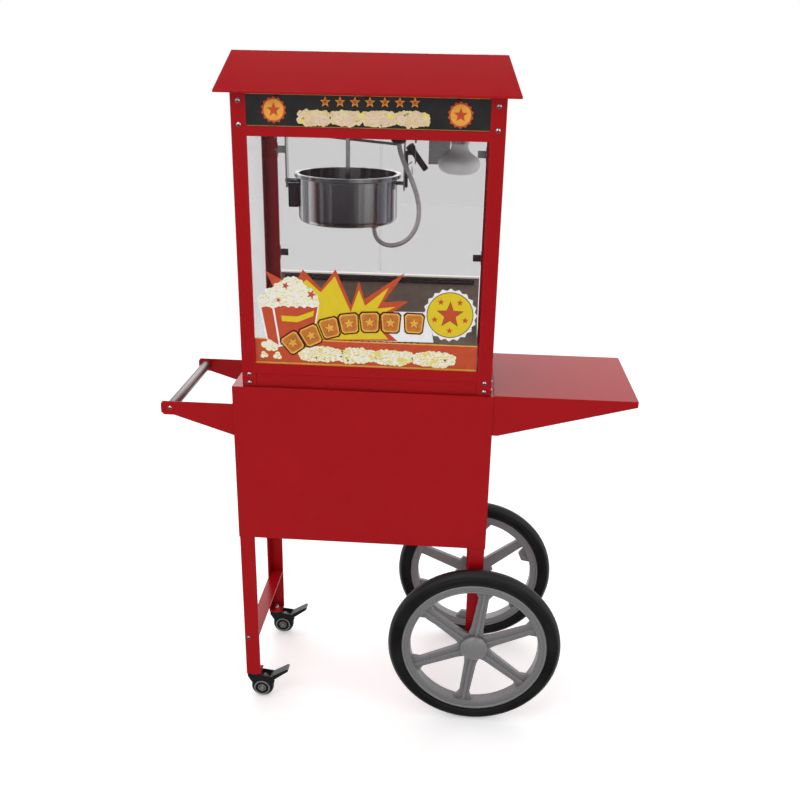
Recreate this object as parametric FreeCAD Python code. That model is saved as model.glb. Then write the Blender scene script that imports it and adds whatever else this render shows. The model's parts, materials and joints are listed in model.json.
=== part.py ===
"""Popcorn maker on a two-wheel cart. Millimetres, +Z up, customer side towards -Y.

Every piece is drawn about the middle of the cart body, then moved so that the
origin lies on the floor under the middle of the overall box.
"""
import FreeCAD
import Part
import math
import os

V = FreeCAD.Vector
X, Y, Z = V(1, 0, 0), V(0, 1, 0), V(0, 0, 1)

# ---- cart body -------------------------------------------------------------
CART_W = 560.0            # along X
CART_D = 312.0            # along Y
CART_BOTTOM = 445.0       # underside of the cupboard
CART_TOP = 808.0          # upper face of the deck
SHEET = 1.5               # cart sheet metal
DOOR_W = 430.0            # rear cupboard door
DOOR_H = 290.0
DOOR_GAP = 2.0            # all round the door
DOOR_REBATE = 30.0        # door edge above the cupboard floor

# ---- legs, axle and big wheels ---------------------------------------------
LEG = 34.0                # width of each leg angle
LEG_T = 2.5
LEG_BOTTOM = 68.0         # underside of the caster legs
AXLE_Z = 200.0
AXLE_X = 266.0
AXLE_R = 6.0
AXLE_LEG_TAIL = 18.0      # leg left below the axle
HOLE_CLEAR = 0.1
RUN_CLEAR = 0.05          # radial, on every running fit
BODY_CLEAR = 0.3          # between bodies that pass each other
WHEEL_R = 200.0
TYRE_W = 32.0
TYRE_SEAT = 0.2           # tyre bead off the rim
RIM_R = 168.0
RIM_IN_R = 148.0
RIM_W = 26.0
WHEEL_OUT = 5.7           # leg face to wheel hub
SPOKES = 6
SPOKE_START = 22.5        # degrees
SPOKE_ROOT = 30.0
SPOKE_TIP = 22.0
SPOKE_T = 12.0
RIB_W = 7.0
RIB_T = 4.0
HUB_R = 28.0
HUB_BOSS_R = 22.0
CAP_H = 11.0
CAP_BORE_R = 12.0
NUT_R = 9.0
NUT_T = 4.0
STRETCHER_Z = 180.0       # upper face of the stretcher between the caster legs

# ---- casters ---------------------------------------------------------------
CASTER_R = 27.0
CASTER_W = 20.0
CASTER_TRAIL = 18.0
STEM_R = 5.0
RACE_R = 15.0
RACE_T = 4.0
FORK_TOP_T = 5.0
FORK_T = 2.0
PIN_R = 4.0
PEDAL_PIVOT = (42.0, 53.0)
PEDAL_PIN_R = 3.0
PEDAL_TIP = (82.0, 79.0)
PEDAL_W = 24.0

# ---- side shelf and push handle --------------------------------------------
SHELF_OUT = 301.0         # from the cart's side
SHELF_TOP = 810.0
SKIRT_IN = 90.0           # skirt depth beside the cart
SKIRT_OUT = 13.0          # and at the outer edge
ARM_OUT = 159.0           # tip of a handle arm from the cart's side
ARM_TOP = 767.0
ARM_IN = 73.0             # depth beside the cart
ARM_TIP = 31.0            # depth at the tip
ARM_T = 2.0
ARM_FLANGE = 16.0
BAR_R = 11.0
BAR_BACK = 20.0           # bar centre from the arm's tip
BAR_DROP = 15.0           # bar centre below the arm's top

# ---- popping cabinet -------------------------------------------------------
MACHINE_X = 8.0           # middle of the cabinet from the middle of the cart
MACHINE_W = 530.0
MACHINE_D = 302.0
POST = 30.0
POST_T = 2.0
POST_TOP = 1402.0
BASE_H = 30.0
RAIL_H = 22.0             # front rail under the glass
HEADER_BOTTOM = 1322.0
HEADER_RAIL_H = 18.0
PANEL_T = 1.5
GLASS_T = 3.0
TRAY_FLOOR = 22.0         # above the base
TRAY_SIDE_H = 20.0
SILL_H = 135.0            # rear sill of the tray, above its floor
TRAY_T = 1.2
SLOT_W = 5.0
SLOT_L = 60.0
SLOT_PITCH = 14.0
SLOT_COUNT = 15
DRAWER_W = 256.0
DRAWER_DEPTH = 220.0
DRAWER_GAP = 1.0
DRAWER_FLOOR = 3.0        # above the deck

# ---- roof ------------------------------------------------------------------
EAVE_W = 583.0
EAVE_D = 354.0
ROOF_TOP_W = 527.0
ROOF_TOP_D = 251.0
ROOF_H = 75.0
EAVE_LIP = 4.0
ROOF_T = 1.5
ROOF_LEDGE = 60.0

# ---- kettle ----------------------------------------------------------------
KETTLE_X = -48.0
POT_R = 104.5
POT_T = 1.5
POT_BOTTOM = 1140.0
POT_TOP = 1240.0
POT_CORNER = 12.0
RIM_FLANGE = 7.5
RIM_FLANGE_H = 7.0
TILT_Z = 1222.0
TRUNNION_R = 4.0
HANGER_LEFT = 128.0       # hanger plates from the kettle's middle
HANGER_RIGHT = 118.0
HANGER_T = 3.0
HANGER_W = 24.0
ROD_R = 5.0
STIR_R = 92.0
STIR_CLEAR = 0.3
STIR_BAR = 6.0
MOTOR_W = 90.0
MOTOR_H = 60.0

# ---- lamp, conduit and switches --------------------------------------------
LAMP_X = 185.0
LAMP_R = 44.0
LAMP_BOTTOM = 1243.0
LAMP_NECK_R = 19.5
CONDUIT_R = 5.25
CONDUIT_PULL = 0.45
GLAND_OUT = 56.0          # conduit gland from the kettle's middle
GLAND_H = 8.0
SWITCH_W = 22.0
SWITCH_H = 30.0
SWITCH_PITCH = 60.0
SCREW_R = 4.0
SCREW_H = 2.0

# ---- what follows from them ------------------------------------------------
HALF_W = CART_W / 2
HALF_D = CART_D / 2
LEG_X = HALF_W - SHEET
LEG_Y = HALF_D - SHEET
STEM_X = -LEG_X + LEG / 2
STEM_Y = LEG_Y - LEG / 2
WHEEL_IN = LEG_Y + WHEEL_OUT
WHEEL_MID = WHEEL_IN + RIM_W / 2
MX0 = MACHINE_X - MACHINE_W / 2
MX1 = MACHINE_X + MACHINE_W / 2
MY = MACHINE_D / 2
BASE_TOP = CART_TOP + BASE_H
RAIL_TOP = BASE_TOP + RAIL_H
TRAY_Z = BASE_TOP + TRAY_FLOOR
SILL_TOP = TRAY_Z + SILL_H
FASCIA_BOTTOM = HEADER_BOTTOM + HEADER_RAIL_H
HANDLE_X = -HALF_W - ARM_OUT
SHELF_X = HALF_W + SHELF_OUT
SHIFT = V(-(HANDLE_X + SHELF_X) / 2, 0, 0)


# ---- small tools -----------------------------------------------------------
def box(x0, x1, y0, y1, z0, z1):
    return Part.makeBox(x1 - x0, y1 - y0, z1 - z0, V(x0, y0, z0))


def rod(start, axis, r, length):
    return Part.makeCylinder(r, length, start, axis)


def ring(start, axis, r_in, r_out, length):
    return rod(start, axis, r_out, length).cut(rod(start, axis, r_in, length))


def slab(points, along, depth):
    """A flat outline pushed along one axis."""
    wire = Part.makePolygon(points + [points[0]])
    return Part.Face(wire).extrude(along * depth)


def turned(edges, centre, axis):
    """A closed outline turned a full circle."""
    return Part.Face(Part.Wire(edges)).revolve(centre, axis, 360)


def outline(points):
    """Straight edges through the points, closed."""
    loop = points + [points[0]]
    return [Part.LineSegment(a, b).toShape() for a, b in zip(loop, loop[1:])]


def fuse(first, *rest):
    solid = first.multiFuse(list(rest)) if rest else first
    return solid.removeSplitter()


def cut(solid, *tools):
    for tool in tools:
        solid = solid.cut(tool)
    return solid


def save(name, *solids):
    """Write one node: its solids, moved to the overall origin."""
    shape = solids[0] if len(solids) == 1 else Part.makeCompound(list(solids))
    shape = shape.copy()
    shape.translate(SHIFT)
    shape.exportStep("parts/" + name + ".step")
    print(name, len(shape.Solids), round(shape.Volume, 1), shape.isValid())


# ---- cart ------------------------------------------------------------------
def cart_panels():
    top = CART_TOP - SHEET
    save("cart_front_panel", box(-HALF_W, HALF_W, -HALF_D, -LEG_Y, CART_BOTTOM, top))
    for name, side in (("cart_left_panel", -1), ("cart_right_panel", 1)):
        x0, x1 = sorted((side * HALF_W, side * LEG_X))
        save(name, box(x0, x1, -LEG_Y, LEG_Y, CART_BOTTOM, top))
    frame = box(-HALF_W, HALF_W, LEG_Y, HALF_D, CART_BOTTOM, top)
    door_z = CART_BOTTOM + DOOR_REBATE
    hole = box(-DOOR_W / 2, DOOR_W / 2, LEG_Y, HALF_D, door_z, door_z + DOOR_H)
    save("cart_rear_frame", frame.cut(hole))
    floor = box(-LEG_X, LEG_X, -LEG_Y, LEG_Y, CART_BOTTOM, CART_BOTTOM + SHEET)
    notches = [box(min(sx * LEG_X, sx * (LEG_X - LEG)), max(sx * LEG_X, sx * (LEG_X - LEG)),
                   min(sy * LEG_Y, sy * (LEG_Y - LEG)), max(sy * LEG_Y, sy * (LEG_Y - LEG)),
                   CART_BOTTOM, CART_BOTTOM + SHEET) for sx in (-1, 1) for sy in (-1, 1)]
    save("cart_floor", cut(floor, *notches))
    save("cart_deck", box(-HALF_W, HALF_W, -HALF_D, HALF_D, top, CART_TOP))


def cart_door():
    z0 = CART_BOTTOM + DOOR_REBATE + DOOR_GAP
    z1 = z0 + DOOR_H - 2 * DOOR_GAP
    x0, x1 = -DOOR_W / 2 + DOOR_GAP, DOOR_W / 2 - DOOR_GAP
    panel = box(x0, x1, LEG_Y, HALF_D, z0, z1)
    pull = rod(V(x1 - 35, HALF_D, (z0 + z1) / 2), Y, 6, 14)
    knob = rod(V(x1 - 35, HALF_D + 14, (z0 + z1) / 2), Y, 12, 8)
    hinge_x = cart_hinge_x()
    knuckles = []
    for z in cart_hinge_heights():
        knuckle = rod(V(hinge_x, hinge_y(), z), Z, 3.5, 20)
        leaf = box(hinge_x, x0 + 16, HALF_D, HALF_D + 1.5, z, z + 20)
        knuckles.append(fuse(knuckle, leaf).cut(rod(V(hinge_x, hinge_y(), z - 1), Z, 2 + RUN_CLEAR, 22)))
    save("cart_door", fuse(panel, pull, knob, *knuckles))


def cart_hinge_x():
    return -DOOR_W / 2 - 4


def hinge_y():
    return HALF_D + 3.5


def cart_hinge_heights():
    z0 = CART_BOTTOM + DOOR_REBATE
    return (z0 + 30, z0 + DOOR_H - 50)


def hinge_leaves():
    """Fixed leaves with their pins: two on the cart door, two on each glass door."""
    solids = []
    for z in cart_hinge_heights():
        x = cart_hinge_x()
        pin = rod(V(x, hinge_y(), z - 10), Z, 2, 40)
        for start in (z - 10, z + 20 + BODY_CLEAR):
            low = rod(V(x, hinge_y(), start), Z, 3.5, 10 - BODY_CLEAR)
            leaf = box(x - 16, x, HALF_D, HALF_D + 1.5, start, start + 10 - BODY_CLEAR)
            pin = fuse(pin, low, leaf)
        solids.append(pin)
    for side in (-1, 1):
        x, y = glass_hinge(side)
        for z in glass_hinge_heights():
            pin = rod(V(x, y, z - 8), Z, 1.5, 32)
            for start in (z - 8, z + 16 + BODY_CLEAR):
                low = rod(V(x, y, start), Z, 2.8, 8 - BODY_CLEAR)
                x0, x1 = sorted((x, x + side * 14))
                leaf = box(x0, x1, MY, MY + 1.2, start, start + 8 - BODY_CLEAR)
                pin = fuse(pin, low, leaf)
            solids.append(pin)
    save("hinge_leaves", *solids)


def legs():
    for name, sx, sy in (("leg_front_left", -1, -1), ("leg_rear_left", -1, 1),
                         ("leg_front_right", 1, -1), ("leg_rear_right", 1, 1)):
        z0 = LEG_BOTTOM if sx < 0 else AXLE_Z - AXLE_LEG_TAIL
        z1 = CART_TOP - SHEET
        x = sorted((sx * LEG_X, sx * (LEG_X - LEG)))
        y = sorted((sy * LEG_Y, sy * (LEG_Y - LEG)))
        face = sorted((sy * LEG_Y, sy * (LEG_Y - LEG_T)))
        side = sorted((sx * LEG_X, sx * (LEG_X - LEG_T)))
        leg = fuse(box(x[0], x[1], face[0], face[1], z0, z1),
                   box(side[0], side[1], y[0], y[1], z0, z1))
        if sx < 0:
            foot = box(x[0], x[1], y[0], y[1], z0, z0 + LEG_T)
            leg = fuse(leg, foot).cut(rod(V(STEM_X, sy * STEM_Y, z0 - 1), Z, STEM_R + HOLE_CLEAR, 2 * LEG_T))
        else:
            leg = leg.cut(rod(V(AXLE_X, -HALF_D, AXLE_Z), Y, AXLE_R + HOLE_CLEAR, CART_D))
        save(name, leg)
    inner = LEG_Y - LEG_T
    x0, x1 = -LEG_X + LEG_T, -LEG_X + LEG
    top = box(x0, x1, -inner, inner, STRETCHER_Z - LEG_T, STRETCHER_Z)
    web = box(x0, x0 + LEG_T, -inner, inner, STRETCHER_Z - LEG, STRETCHER_Z)
    save("leg_stretcher", fuse(top, web))


def wheel_axle():
    nut_in = WHEEL_IN + RIM_W + BODY_CLEAR
    reach = nut_in + NUT_T
    solids = [rod(V(AXLE_X, -reach, AXLE_Z), Y, AXLE_R, 2 * reach)]
    for side in (-1, 1):
        washer = ring(V(AXLE_X, side * LEG_Y, AXLE_Z), Y * side, AXLE_R, NUT_R + 2, WHEEL_OUT - BODY_CLEAR)
        nut = ring(V(AXLE_X, side * nut_in, AXLE_Z), Y * side, AXLE_R, NUT_R, NUT_T)
        solids[0] = fuse(solids[0], washer, nut)
    save("wheel_axle", solids[0])


# ---- big wheels ------------------------------------------------------------
def spoke(angle):
    """One tapered spoke with a raised rib down its outer face."""
    reach = RIM_IN_R + 4
    bar = slab([V(0, -SPOKE_T / 2, -SPOKE_ROOT / 2), V(reach, -SPOKE_T / 2, -SPOKE_TIP / 2),
                V(reach, -SPOKE_T / 2, SPOKE_TIP / 2), V(0, -SPOKE_T / 2, SPOKE_ROOT / 2)], Y, SPOKE_T)
    rib = box(0, reach, -SPOKE_T / 2 - RIB_T, -SPOKE_T / 2 + 1, -RIB_W / 2, RIB_W / 2)
    solid = bar.fuse(rib)
    solid.rotate(V(0, 0, 0), Y, -angle)
    return solid


def wheel_rim():
    """Rim on the origin, outer face towards -Y."""
    rim = ring(V(0, -RIM_W / 2, 0), Y, RIM_IN_R, RIM_R, RIM_W)
    hub = rod(V(0, -RIM_W / 2, 0), Y, HUB_R, RIM_W)
    spokes = [spoke(SPOKE_START + k * 360 / SPOKES) for k in range(SPOKES)]
    solid = fuse(rim, hub, *spokes)
    return solid.cut(rod(V(0, -RIM_W, 0), Y, AXLE_R + RUN_CLEAR, 2 * RIM_W))


def tyre():
    half, shoulder = TYRE_W / 2, RIM_R + 0.55 * (WHEEL_R - RIM_R)
    bead = RIM_R + TYRE_SEAT
    a, b = V(bead, -half, 0), V(shoulder, -half, 0)
    c, d = V(shoulder, half, 0), V(bead, half, 0)
    edges = [Part.LineSegment(a, b).toShape(), Part.Arc(b, V(WHEEL_R, 0, 0), c).toShape(),
             Part.LineSegment(c, d).toShape(), Part.LineSegment(d, a).toShape()]
    return turned(edges, V(0, 0, 0), Y)


def hub_cap():
    """Domed cap, hollow for the axle nut, seated on the hub's outer face."""
    y0 = -RIM_W / 2
    a, b = V(CAP_BORE_R, y0, 0), V(HUB_BOSS_R, y0, 0)
    c, d = V(HUB_BOSS_R, y0 - 3, 0), V(0, y0 - CAP_H, 0)
    e, f = V(0, y0 - 6, 0), V(CAP_BORE_R, y0 - 6, 0)
    rise = CAP_H - 3
    dome_r = (HUB_BOSS_R ** 2 + rise ** 2) / (2 * rise)
    half = HUB_BOSS_R / 2
    bulge = V(half, d.y + dome_r - math.sqrt(dome_r ** 2 - half ** 2), 0)
    edges = [Part.LineSegment(a, b).toShape(), Part.LineSegment(b, c).toShape(),
             Part.Arc(c, bulge, d).toShape(), Part.LineSegment(d, e).toShape(),
             Part.LineSegment(e, f).toShape(), Part.LineSegment(f, a).toShape()]
    return turned(edges, V(0, 0, 0), Y)


def wheels():
    for name, side in (("front", -1), ("rear", 1)):
        for part, shape in (("wheel_rim", wheel_rim()), ("wheel_tyre", tyre()), ("hub_cap", hub_cap())):
            if side > 0:
                shape.rotate(V(0, 0, 0), Z, 180)
            shape.translate(V(AXLE_X, side * WHEEL_MID, AXLE_Z))
            save(name + "_" + part, shape)


# ---- casters ---------------------------------------------------------------
def caster(name, y):
    """Swivel caster with a brake pedal, trailing towards +X."""
    x, z = STEM_X, CASTER_R
    fork_z = LEG_BOTTOM - RACE_T - BODY_CLEAR - FORK_TOP_T
    head_z = fork_z - BODY_CLEAR - 3
    stem = rod(V(x, y, head_z), Z, STEM_R, LEG_BOTTOM + 14 - head_z)
    head = rod(V(x, y, head_z), Z, 8, 3)
    race = rod(V(x, y, LEG_BOTTOM - RACE_T), Z, RACE_R, RACE_T)
    nut = rod(V(x, y, LEG_BOTTOM + LEG_T), Z, 8.5, 6)
    save("caster_" + name + "_mount", fuse(stem, head, race, nut))

    def at(points, y0):
        return [V(x + px, y0, pz) for px, pz in points]

    inner = CASTER_W / 2 + 2
    wheel_x = x + CASTER_TRAIL
    cheek = [(-16, fork_z + FORK_TOP_T), (16, fork_z + FORK_TOP_T), (48, 60), (50, 47), (32, 20),
             (25, 15), (11, 15), (-4, 38), (-16, fork_z)]
    left = slab(at(cheek, y - inner - FORK_T), Y, FORK_T)
    right = slab(at(cheek, y + inner), Y, FORK_T)
    top = box(x - 16, x + 16, y - inner, y + inner, fork_z, fork_z + FORK_TOP_T)
    hood = ring(V(wheel_x, y - inner, z), Y, CASTER_R + 2, CASTER_R + 4, 2 * inner)
    hood = hood.common(box(x - 8, x + 36, y - inner, y + inner, z + 17, fork_z + FORK_TOP_T))
    hood = hood.cut(rod(V(x, y, head_z - 0.5), Z, 8.6, 8))
    pin = rod(V(wheel_x, y - inner, z), Y, PIN_R, 2 * inner)
    px, pz = x + PEDAL_PIVOT[0], PEDAL_PIVOT[1]
    pedal_pin = rod(V(px, y - inner, pz), Y, PEDAL_PIN_R, 2 * inner)
    stem_hole = rod(V(x, y, fork_z - 1), Z, STEM_R + RUN_CLEAR, FORK_TOP_T + 2)
    fork = fuse(left, right, top, hood, pin, pedal_pin).cut(stem_hole)
    save("caster_" + name + "_fork", fork)

    wheel = rod(V(wheel_x, y - CASTER_W / 2, z), Y, CASTER_R, CASTER_W)
    rims = [e for e in wheel.Edges if abs(e.Length - 2 * math.pi * CASTER_R) < 0.01]
    wheel = wheel.makeFillet(3, rims)
    save("caster_" + name + "_wheel", wheel.cut(rod(V(wheel_x, y - CASTER_W, z), Y, PIN_R + RUN_CLEAR,
                                                    2 * CASTER_W)))
    half = PEDAL_W / 2
    tx, tz = x + PEDAL_TIP[0], PEDAL_TIP[1]
    boss = rod(V(px, y - half, pz), Y, 6, PEDAL_W)
    arm = slab([V(px - 1, y - half, pz + 6), V(px + 4, y - half, pz - 4), V(tx, y - half, tz - 3),
                V(tx + 2, y - half, tz + 2), V(tx - 3, y - half, tz + 3)], Y, PEDAL_W)
    pedal = fuse(boss, arm).cut(rod(V(px, y - PEDAL_W, pz), Y, PEDAL_PIN_R + RUN_CLEAR, 2 * PEDAL_W))
    save("caster_" + name + "_pedal", pedal)


# ---- shelf and handle ------------------------------------------------------
def side_shelf():
    y = LEG_Y
    x0, x1, z = HALF_W, SHELF_X, SHELF_TOP
    top = box(x0, x1, -y, y, z - SHEET, z)
    skirt = [V(x0, -y, z), V(x1, -y, z), V(x1, -y, z - SKIRT_OUT), V(x0 + 12, -y, z - SKIRT_IN),
             V(x0, -y, z - SKIRT_IN)]
    front = slab(skirt, Y, SHEET)
    rear = front.copy()
    rear.translate(V(0, 2 * y - SHEET, 0))
    end = box(x1 - SHEET, x1, -y, y, z - SKIRT_OUT, z)
    foot = box(x0, x0 + SHEET, -y, y, z - SKIRT_IN, z)
    save("side_shelf", fuse(top, front, rear, end, foot))


def push_handle():
    bar_x, bar_z = HANDLE_X + BAR_BACK, ARM_TOP - BAR_DROP
    solids = []
    for side in (-1, 1):
        y0 = -LEG_Y if side < 0 else LEG_Y - ARM_T
        points = [V(-HALF_W, y0, ARM_TOP), V(HANDLE_X + 4, y0, ARM_TOP), V(HANDLE_X, y0, ARM_TOP - 6),
                  V(HANDLE_X, y0, ARM_TOP - ARM_TIP + 6), V(HANDLE_X + 6, y0, ARM_TOP - ARM_TIP),
                  V(bar_x + 8, y0, ARM_TOP - ARM_TIP), V(-HALF_W, y0, ARM_TOP - ARM_IN)]
        plate = slab(points, Y, ARM_T)
        f0, f1 = sorted((side * LEG_Y, side * (LEG_Y - ARM_FLANGE)))
        flange = box(-HALF_W - ARM_T, -HALF_W, f0, f1, ARM_TOP - ARM_IN, ARM_TOP)
        solids.append(fuse(plate, flange))
    save("handle_arms", *solids)
    inner = LEG_Y - ARM_T
    save("handle_bar", rod(V(bar_x, -inner, bar_z), Y, BAR_R, 2 * inner))


def screws():
    """Pan heads on the arms, legs, shelf, posts and base."""
    heads = []

    def head(x, y, z, along):
        heads.append(rod(V(x, y, z), along, SCREW_R, SCREW_H))

    bar_x, bar_z = HANDLE_X + BAR_BACK, ARM_TOP - BAR_DROP
    for side in (-1, 1):
        head(bar_x, side * LEG_Y, bar_z, Y * side)
        head(-LEG_X + LEG / 4, side * LEG_Y, STRETCHER_Z - LEG / 4, Y * side)
        for z in (POST_TOP - 15, FASCIA_BOTTOM + 3, BASE_TOP - 3, CART_TOP + 8):
            head(MX0 + POST / 2, side * MY, z, Y * side)
            head(MX1 - POST / 2, side * MY, z, Y * side)
        for z in (BASE_TOP - 3, CART_TOP + 8):
            head(MX1, side * (MY - POST / 2), z, X)
            head(MX0, side * (MY - POST / 2), z, X * -1)
    for y in (-LEG_Y / 2, LEG_Y / 2):
        head(-HALF_W, y, CART_BOTTOM + 12, X * -1)
    save("screws", *heads)


# ---- popping cabinet -------------------------------------------------------
def corner_posts():
    posts = []
    for x, sx in ((MX0, 1), (MX1, -1)):
        for sy in (-1, 1):
            xs = sorted((x, x + sx * POST))
            xt = sorted((x, x + sx * POST_T))
            ys = sorted((sy * MY, sy * (MY - POST)))
            yt = sorted((sy * MY, sy * (MY - POST_T)))
            posts.append(fuse(box(xs[0], xs[1], yt[0], yt[1], CART_TOP, POST_TOP),
                              box(xt[0], xt[1], ys[0], ys[1], CART_TOP, POST_TOP)))
    save("corner_posts", *posts)


def machine_base():
    x0, x1, y = MX0 + POST_T, MX1 - POST_T, MY - POST_T
    shell = box(x0, x1, -y, y, CART_TOP, BASE_TOP)
    hollow = box(x0 + PANEL_T, x1 - PANEL_T, -y + PANEL_T, y - PANEL_T, CART_TOP, BASE_TOP - PANEL_T)
    gap = DRAWER_GAP
    mouth = box(MACHINE_X - DRAWER_W / 2 - gap, MACHINE_X + DRAWER_W / 2 + gap, y - PANEL_T, y,
                CART_TOP + DRAWER_FLOOR - gap, BASE_TOP - PANEL_T - gap)
    chute = box(MACHINE_X - DRAWER_W / 2 + 10, MACHINE_X + DRAWER_W / 2 - 10, -50, 50,
                BASE_TOP - PANEL_T, BASE_TOP)
    save("machine_base", cut(shell, hollow, mouth, chute))
    save("front_rail", box(MX0 + POST, MX1 - POST, -MY, -y + PANEL_T, BASE_TOP, RAIL_TOP))


def crumb_drawer():
    """Slides out of the operator side, its floor just off the deck."""
    x0, x1 = MACHINE_X - DRAWER_W / 2, MACHINE_X + DRAWER_W / 2
    y1 = MY - POST_T
    z0, z1 = CART_TOP + DRAWER_FLOOR, BASE_TOP - PANEL_T - 2 * DRAWER_GAP
    tub = box(x0, x1, y1 - DRAWER_DEPTH, y1, z0, z1)
    inside = box(x0 + PANEL_T, x1 - PANEL_T, y1 - DRAWER_DEPTH + PANEL_T, y1 - PANEL_T, z0 + PANEL_T, z1)
    front = box(x0 - 6, x1 + 6, y1 + BODY_CLEAR, y1 + BODY_CLEAR + PANEL_T, CART_TOP + BODY_CLEAR, BASE_TOP - 1)
    neck = box(x0, x1, y1 - PANEL_T, y1 + BODY_CLEAR, z0, z1)
    grip = box(MACHINE_X - 45, MACHINE_X + 45, y1 + BODY_CLEAR, y1 + 16, BASE_TOP - 12, BASE_TOP - 9)
    save("crumb_drawer", fuse(tub.cut(inside), neck, front, grip))


def popping_tray():
    """Stainless floor with sifting slots, low sides and a tall rear sill."""
    x0, x1 = MX0 + POST + 2, MX1 - POST - 2
    y = MY - POST_T - PANEL_T - GLASS_T - 1.5
    floor = box(x0, x1, -y, y, TRAY_Z, TRAY_Z + TRAY_T)
    skirts = box(x0, x1, -y, y, BASE_TOP, TRAY_Z + TRAY_SIDE_H).cut(
        box(x0 + TRAY_T, x1 - TRAY_T, -y + TRAY_T, y - TRAY_T, BASE_TOP, TRAY_Z + TRAY_SIDE_H))
    sill = box(x0, x1, y - TRAY_T, y, TRAY_Z, SILL_TOP)
    roll = box(x0, x1, y - 14, y, SILL_TOP - TRAY_T, SILL_TOP)
    slots = []
    for row in (-1, 1):
        for k in range(SLOT_COUNT):
            cx = MACHINE_X + (k - (SLOT_COUNT - 1) / 2) * SLOT_PITCH
            slots.append(box(cx - SLOT_W / 2, cx + SLOT_W / 2, row * 35 - SLOT_L / 2 + 5,
                             row * 35 + SLOT_L / 2 - 5, TRAY_Z, TRAY_Z + TRAY_T))
    save("popping_tray", cut(fuse(floor, skirts, sill, roll), Part.makeCompound(slots)))


def header():
    x0, x1, y = MX0 + POST, MX1 - POST, MY - POST_T
    rail = box(x0, x1, -MY, -y + PANEL_T, HEADER_BOTTOM, FASCIA_BOTTOM)
    sides = [box(MX0 + POST_T, MX0 + POST_T + PANEL_T, -y, y, HEADER_BOTTOM, POST_TOP),
             box(MX1 - POST_T - PANEL_T, MX1 - POST_T, -y, y, HEADER_BOTTOM, POST_TOP)]
    rear = box(MX0 + POST_T, MX1 - POST_T, y - PANEL_T, y, HEADER_BOTTOM, POST_TOP)
    for k in (-1, 0, 1):
        cx = MACHINE_X + k * SWITCH_PITCH
        z = switch_z()
        rear = rear.cut(box(cx - SWITCH_W / 2, cx + SWITCH_W / 2, y - PANEL_T, y,
                            z - SWITCH_H / 2, z + SWITCH_H / 2))
    link = [box(x, x + POST, -y, -y + PANEL_T, HEADER_BOTTOM, FASCIA_BOTTOM)
            for x in (MX0 + POST_T, MX1 - POST_T - POST)]
    save("header_frame", fuse(rail, rear, *sides, *link))
    save("header_fascia", box(x0, x1, -MY + 1, -y + PANEL_T, FASCIA_BOTTOM, POST_TOP))
    floor = box(MX0 + POST_T + PANEL_T, MX1 - POST_T - PANEL_T, -y + PANEL_T + GLASS_T, y - PANEL_T,
                HEADER_BOTTOM, HEADER_BOTTOM + PANEL_T)
    floor = floor.cut(rod(V(KETTLE_X, 0, HEADER_BOTTOM - 1), Z, ROD_R + 2, 5))
    save("header_floor", floor.cut(rod(V(LAMP_X, 0, HEADER_BOTTOM - 1), Z, LAMP_NECK_R - 4, 5)))


def switch_z():
    return (HEADER_BOTTOM + POST_TOP) / 2


def rockers():
    """Three rocker switches, each on its own cross pin in the rear header."""
    y = MY - POST_T
    w, h = SWITCH_W / 2 - BODY_CLEAR, SWITCH_H / 2 - 2
    for name, k in (("rocker_motor", -1), ("rocker_heat", 0), ("rocker_lamp", 1)):
        cx, z = MACHINE_X + k * SWITCH_PITCH, switch_z()
        body = slab([V(cx - w, y - 9, z - h + 3), V(cx - w, y + 4, z - h), V(cx - w, y + 1, z),
                     V(cx - w, y + 1.5, z + h), V(cx - w, y - 9, z + h - 3)], X, 2 * w)
        save(name, body)


def roof():
    """Hipped roof with a flat top, an eave lip and a ledge that rests on the posts."""
    def frustum(inset, z0, z1):
        def rect(w, d, z):
            a, b = w / 2 - inset, d / 2 - inset
            points = [V(MACHINE_X + sx * a, sy * b, z) for sx, sy in ((-1, -1), (1, -1), (1, 1), (-1, 1))]
            return Part.makePolygon(points + [points[0]])
        return Part.makeLoft([rect(EAVE_W, EAVE_D, z0), rect(ROOF_TOP_W, ROOF_TOP_D, z1)], True)

    lip_top = POST_TOP + EAVE_LIP
    top = POST_TOP + ROOF_H
    x0, x1, y = MACHINE_X - EAVE_W / 2, MACHINE_X + EAVE_W / 2, EAVE_D / 2
    lip = box(x0, x1, -y, y, POST_TOP, lip_top)
    lip_hole = box(x0 + ROOF_T, x1 - ROOF_T, -y + ROOF_T, y - ROOF_T, POST_TOP + ROOF_T, lip_top)
    mouth = box(x0 + ROOF_LEDGE, x1 - ROOF_LEDGE, -y + ROOF_LEDGE, y - ROOF_LEDGE, POST_TOP, lip_top)
    hollow = frustum(ROOF_T, lip_top, top - ROOF_T)
    save("roof", fuse(frustum(0, lip_top, top).cut(hollow), cut(lip, lip_hole, mouth)))


def glazing():
    y = MY - POST_T - PANEL_T
    save("front_glass", box(MX0 + 6, MX1 - 6, -y, -y + GLASS_T, BASE_TOP + 0.5, FASCIA_BOTTOM - 2))
    sides = []
    for x in (MX0 + POST_T + 0.5, MX1 - POST_T - 0.5 - GLASS_T):
        sides.append(box(x, x + GLASS_T, -MY + 12, MY - 12, BASE_TOP, HEADER_BOTTOM - 1))
    save("side_glass", *sides)


def glass_hinge(side):
    """Axis of a glass door's hinge, just outside the rear post's edge."""
    return (MACHINE_X + side * (MACHINE_W / 2 - POST + 1.5), MY + 3)


def glass_hinge_heights():
    return (SILL_TOP + 35, HEADER_BOTTOM - 60)


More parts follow.
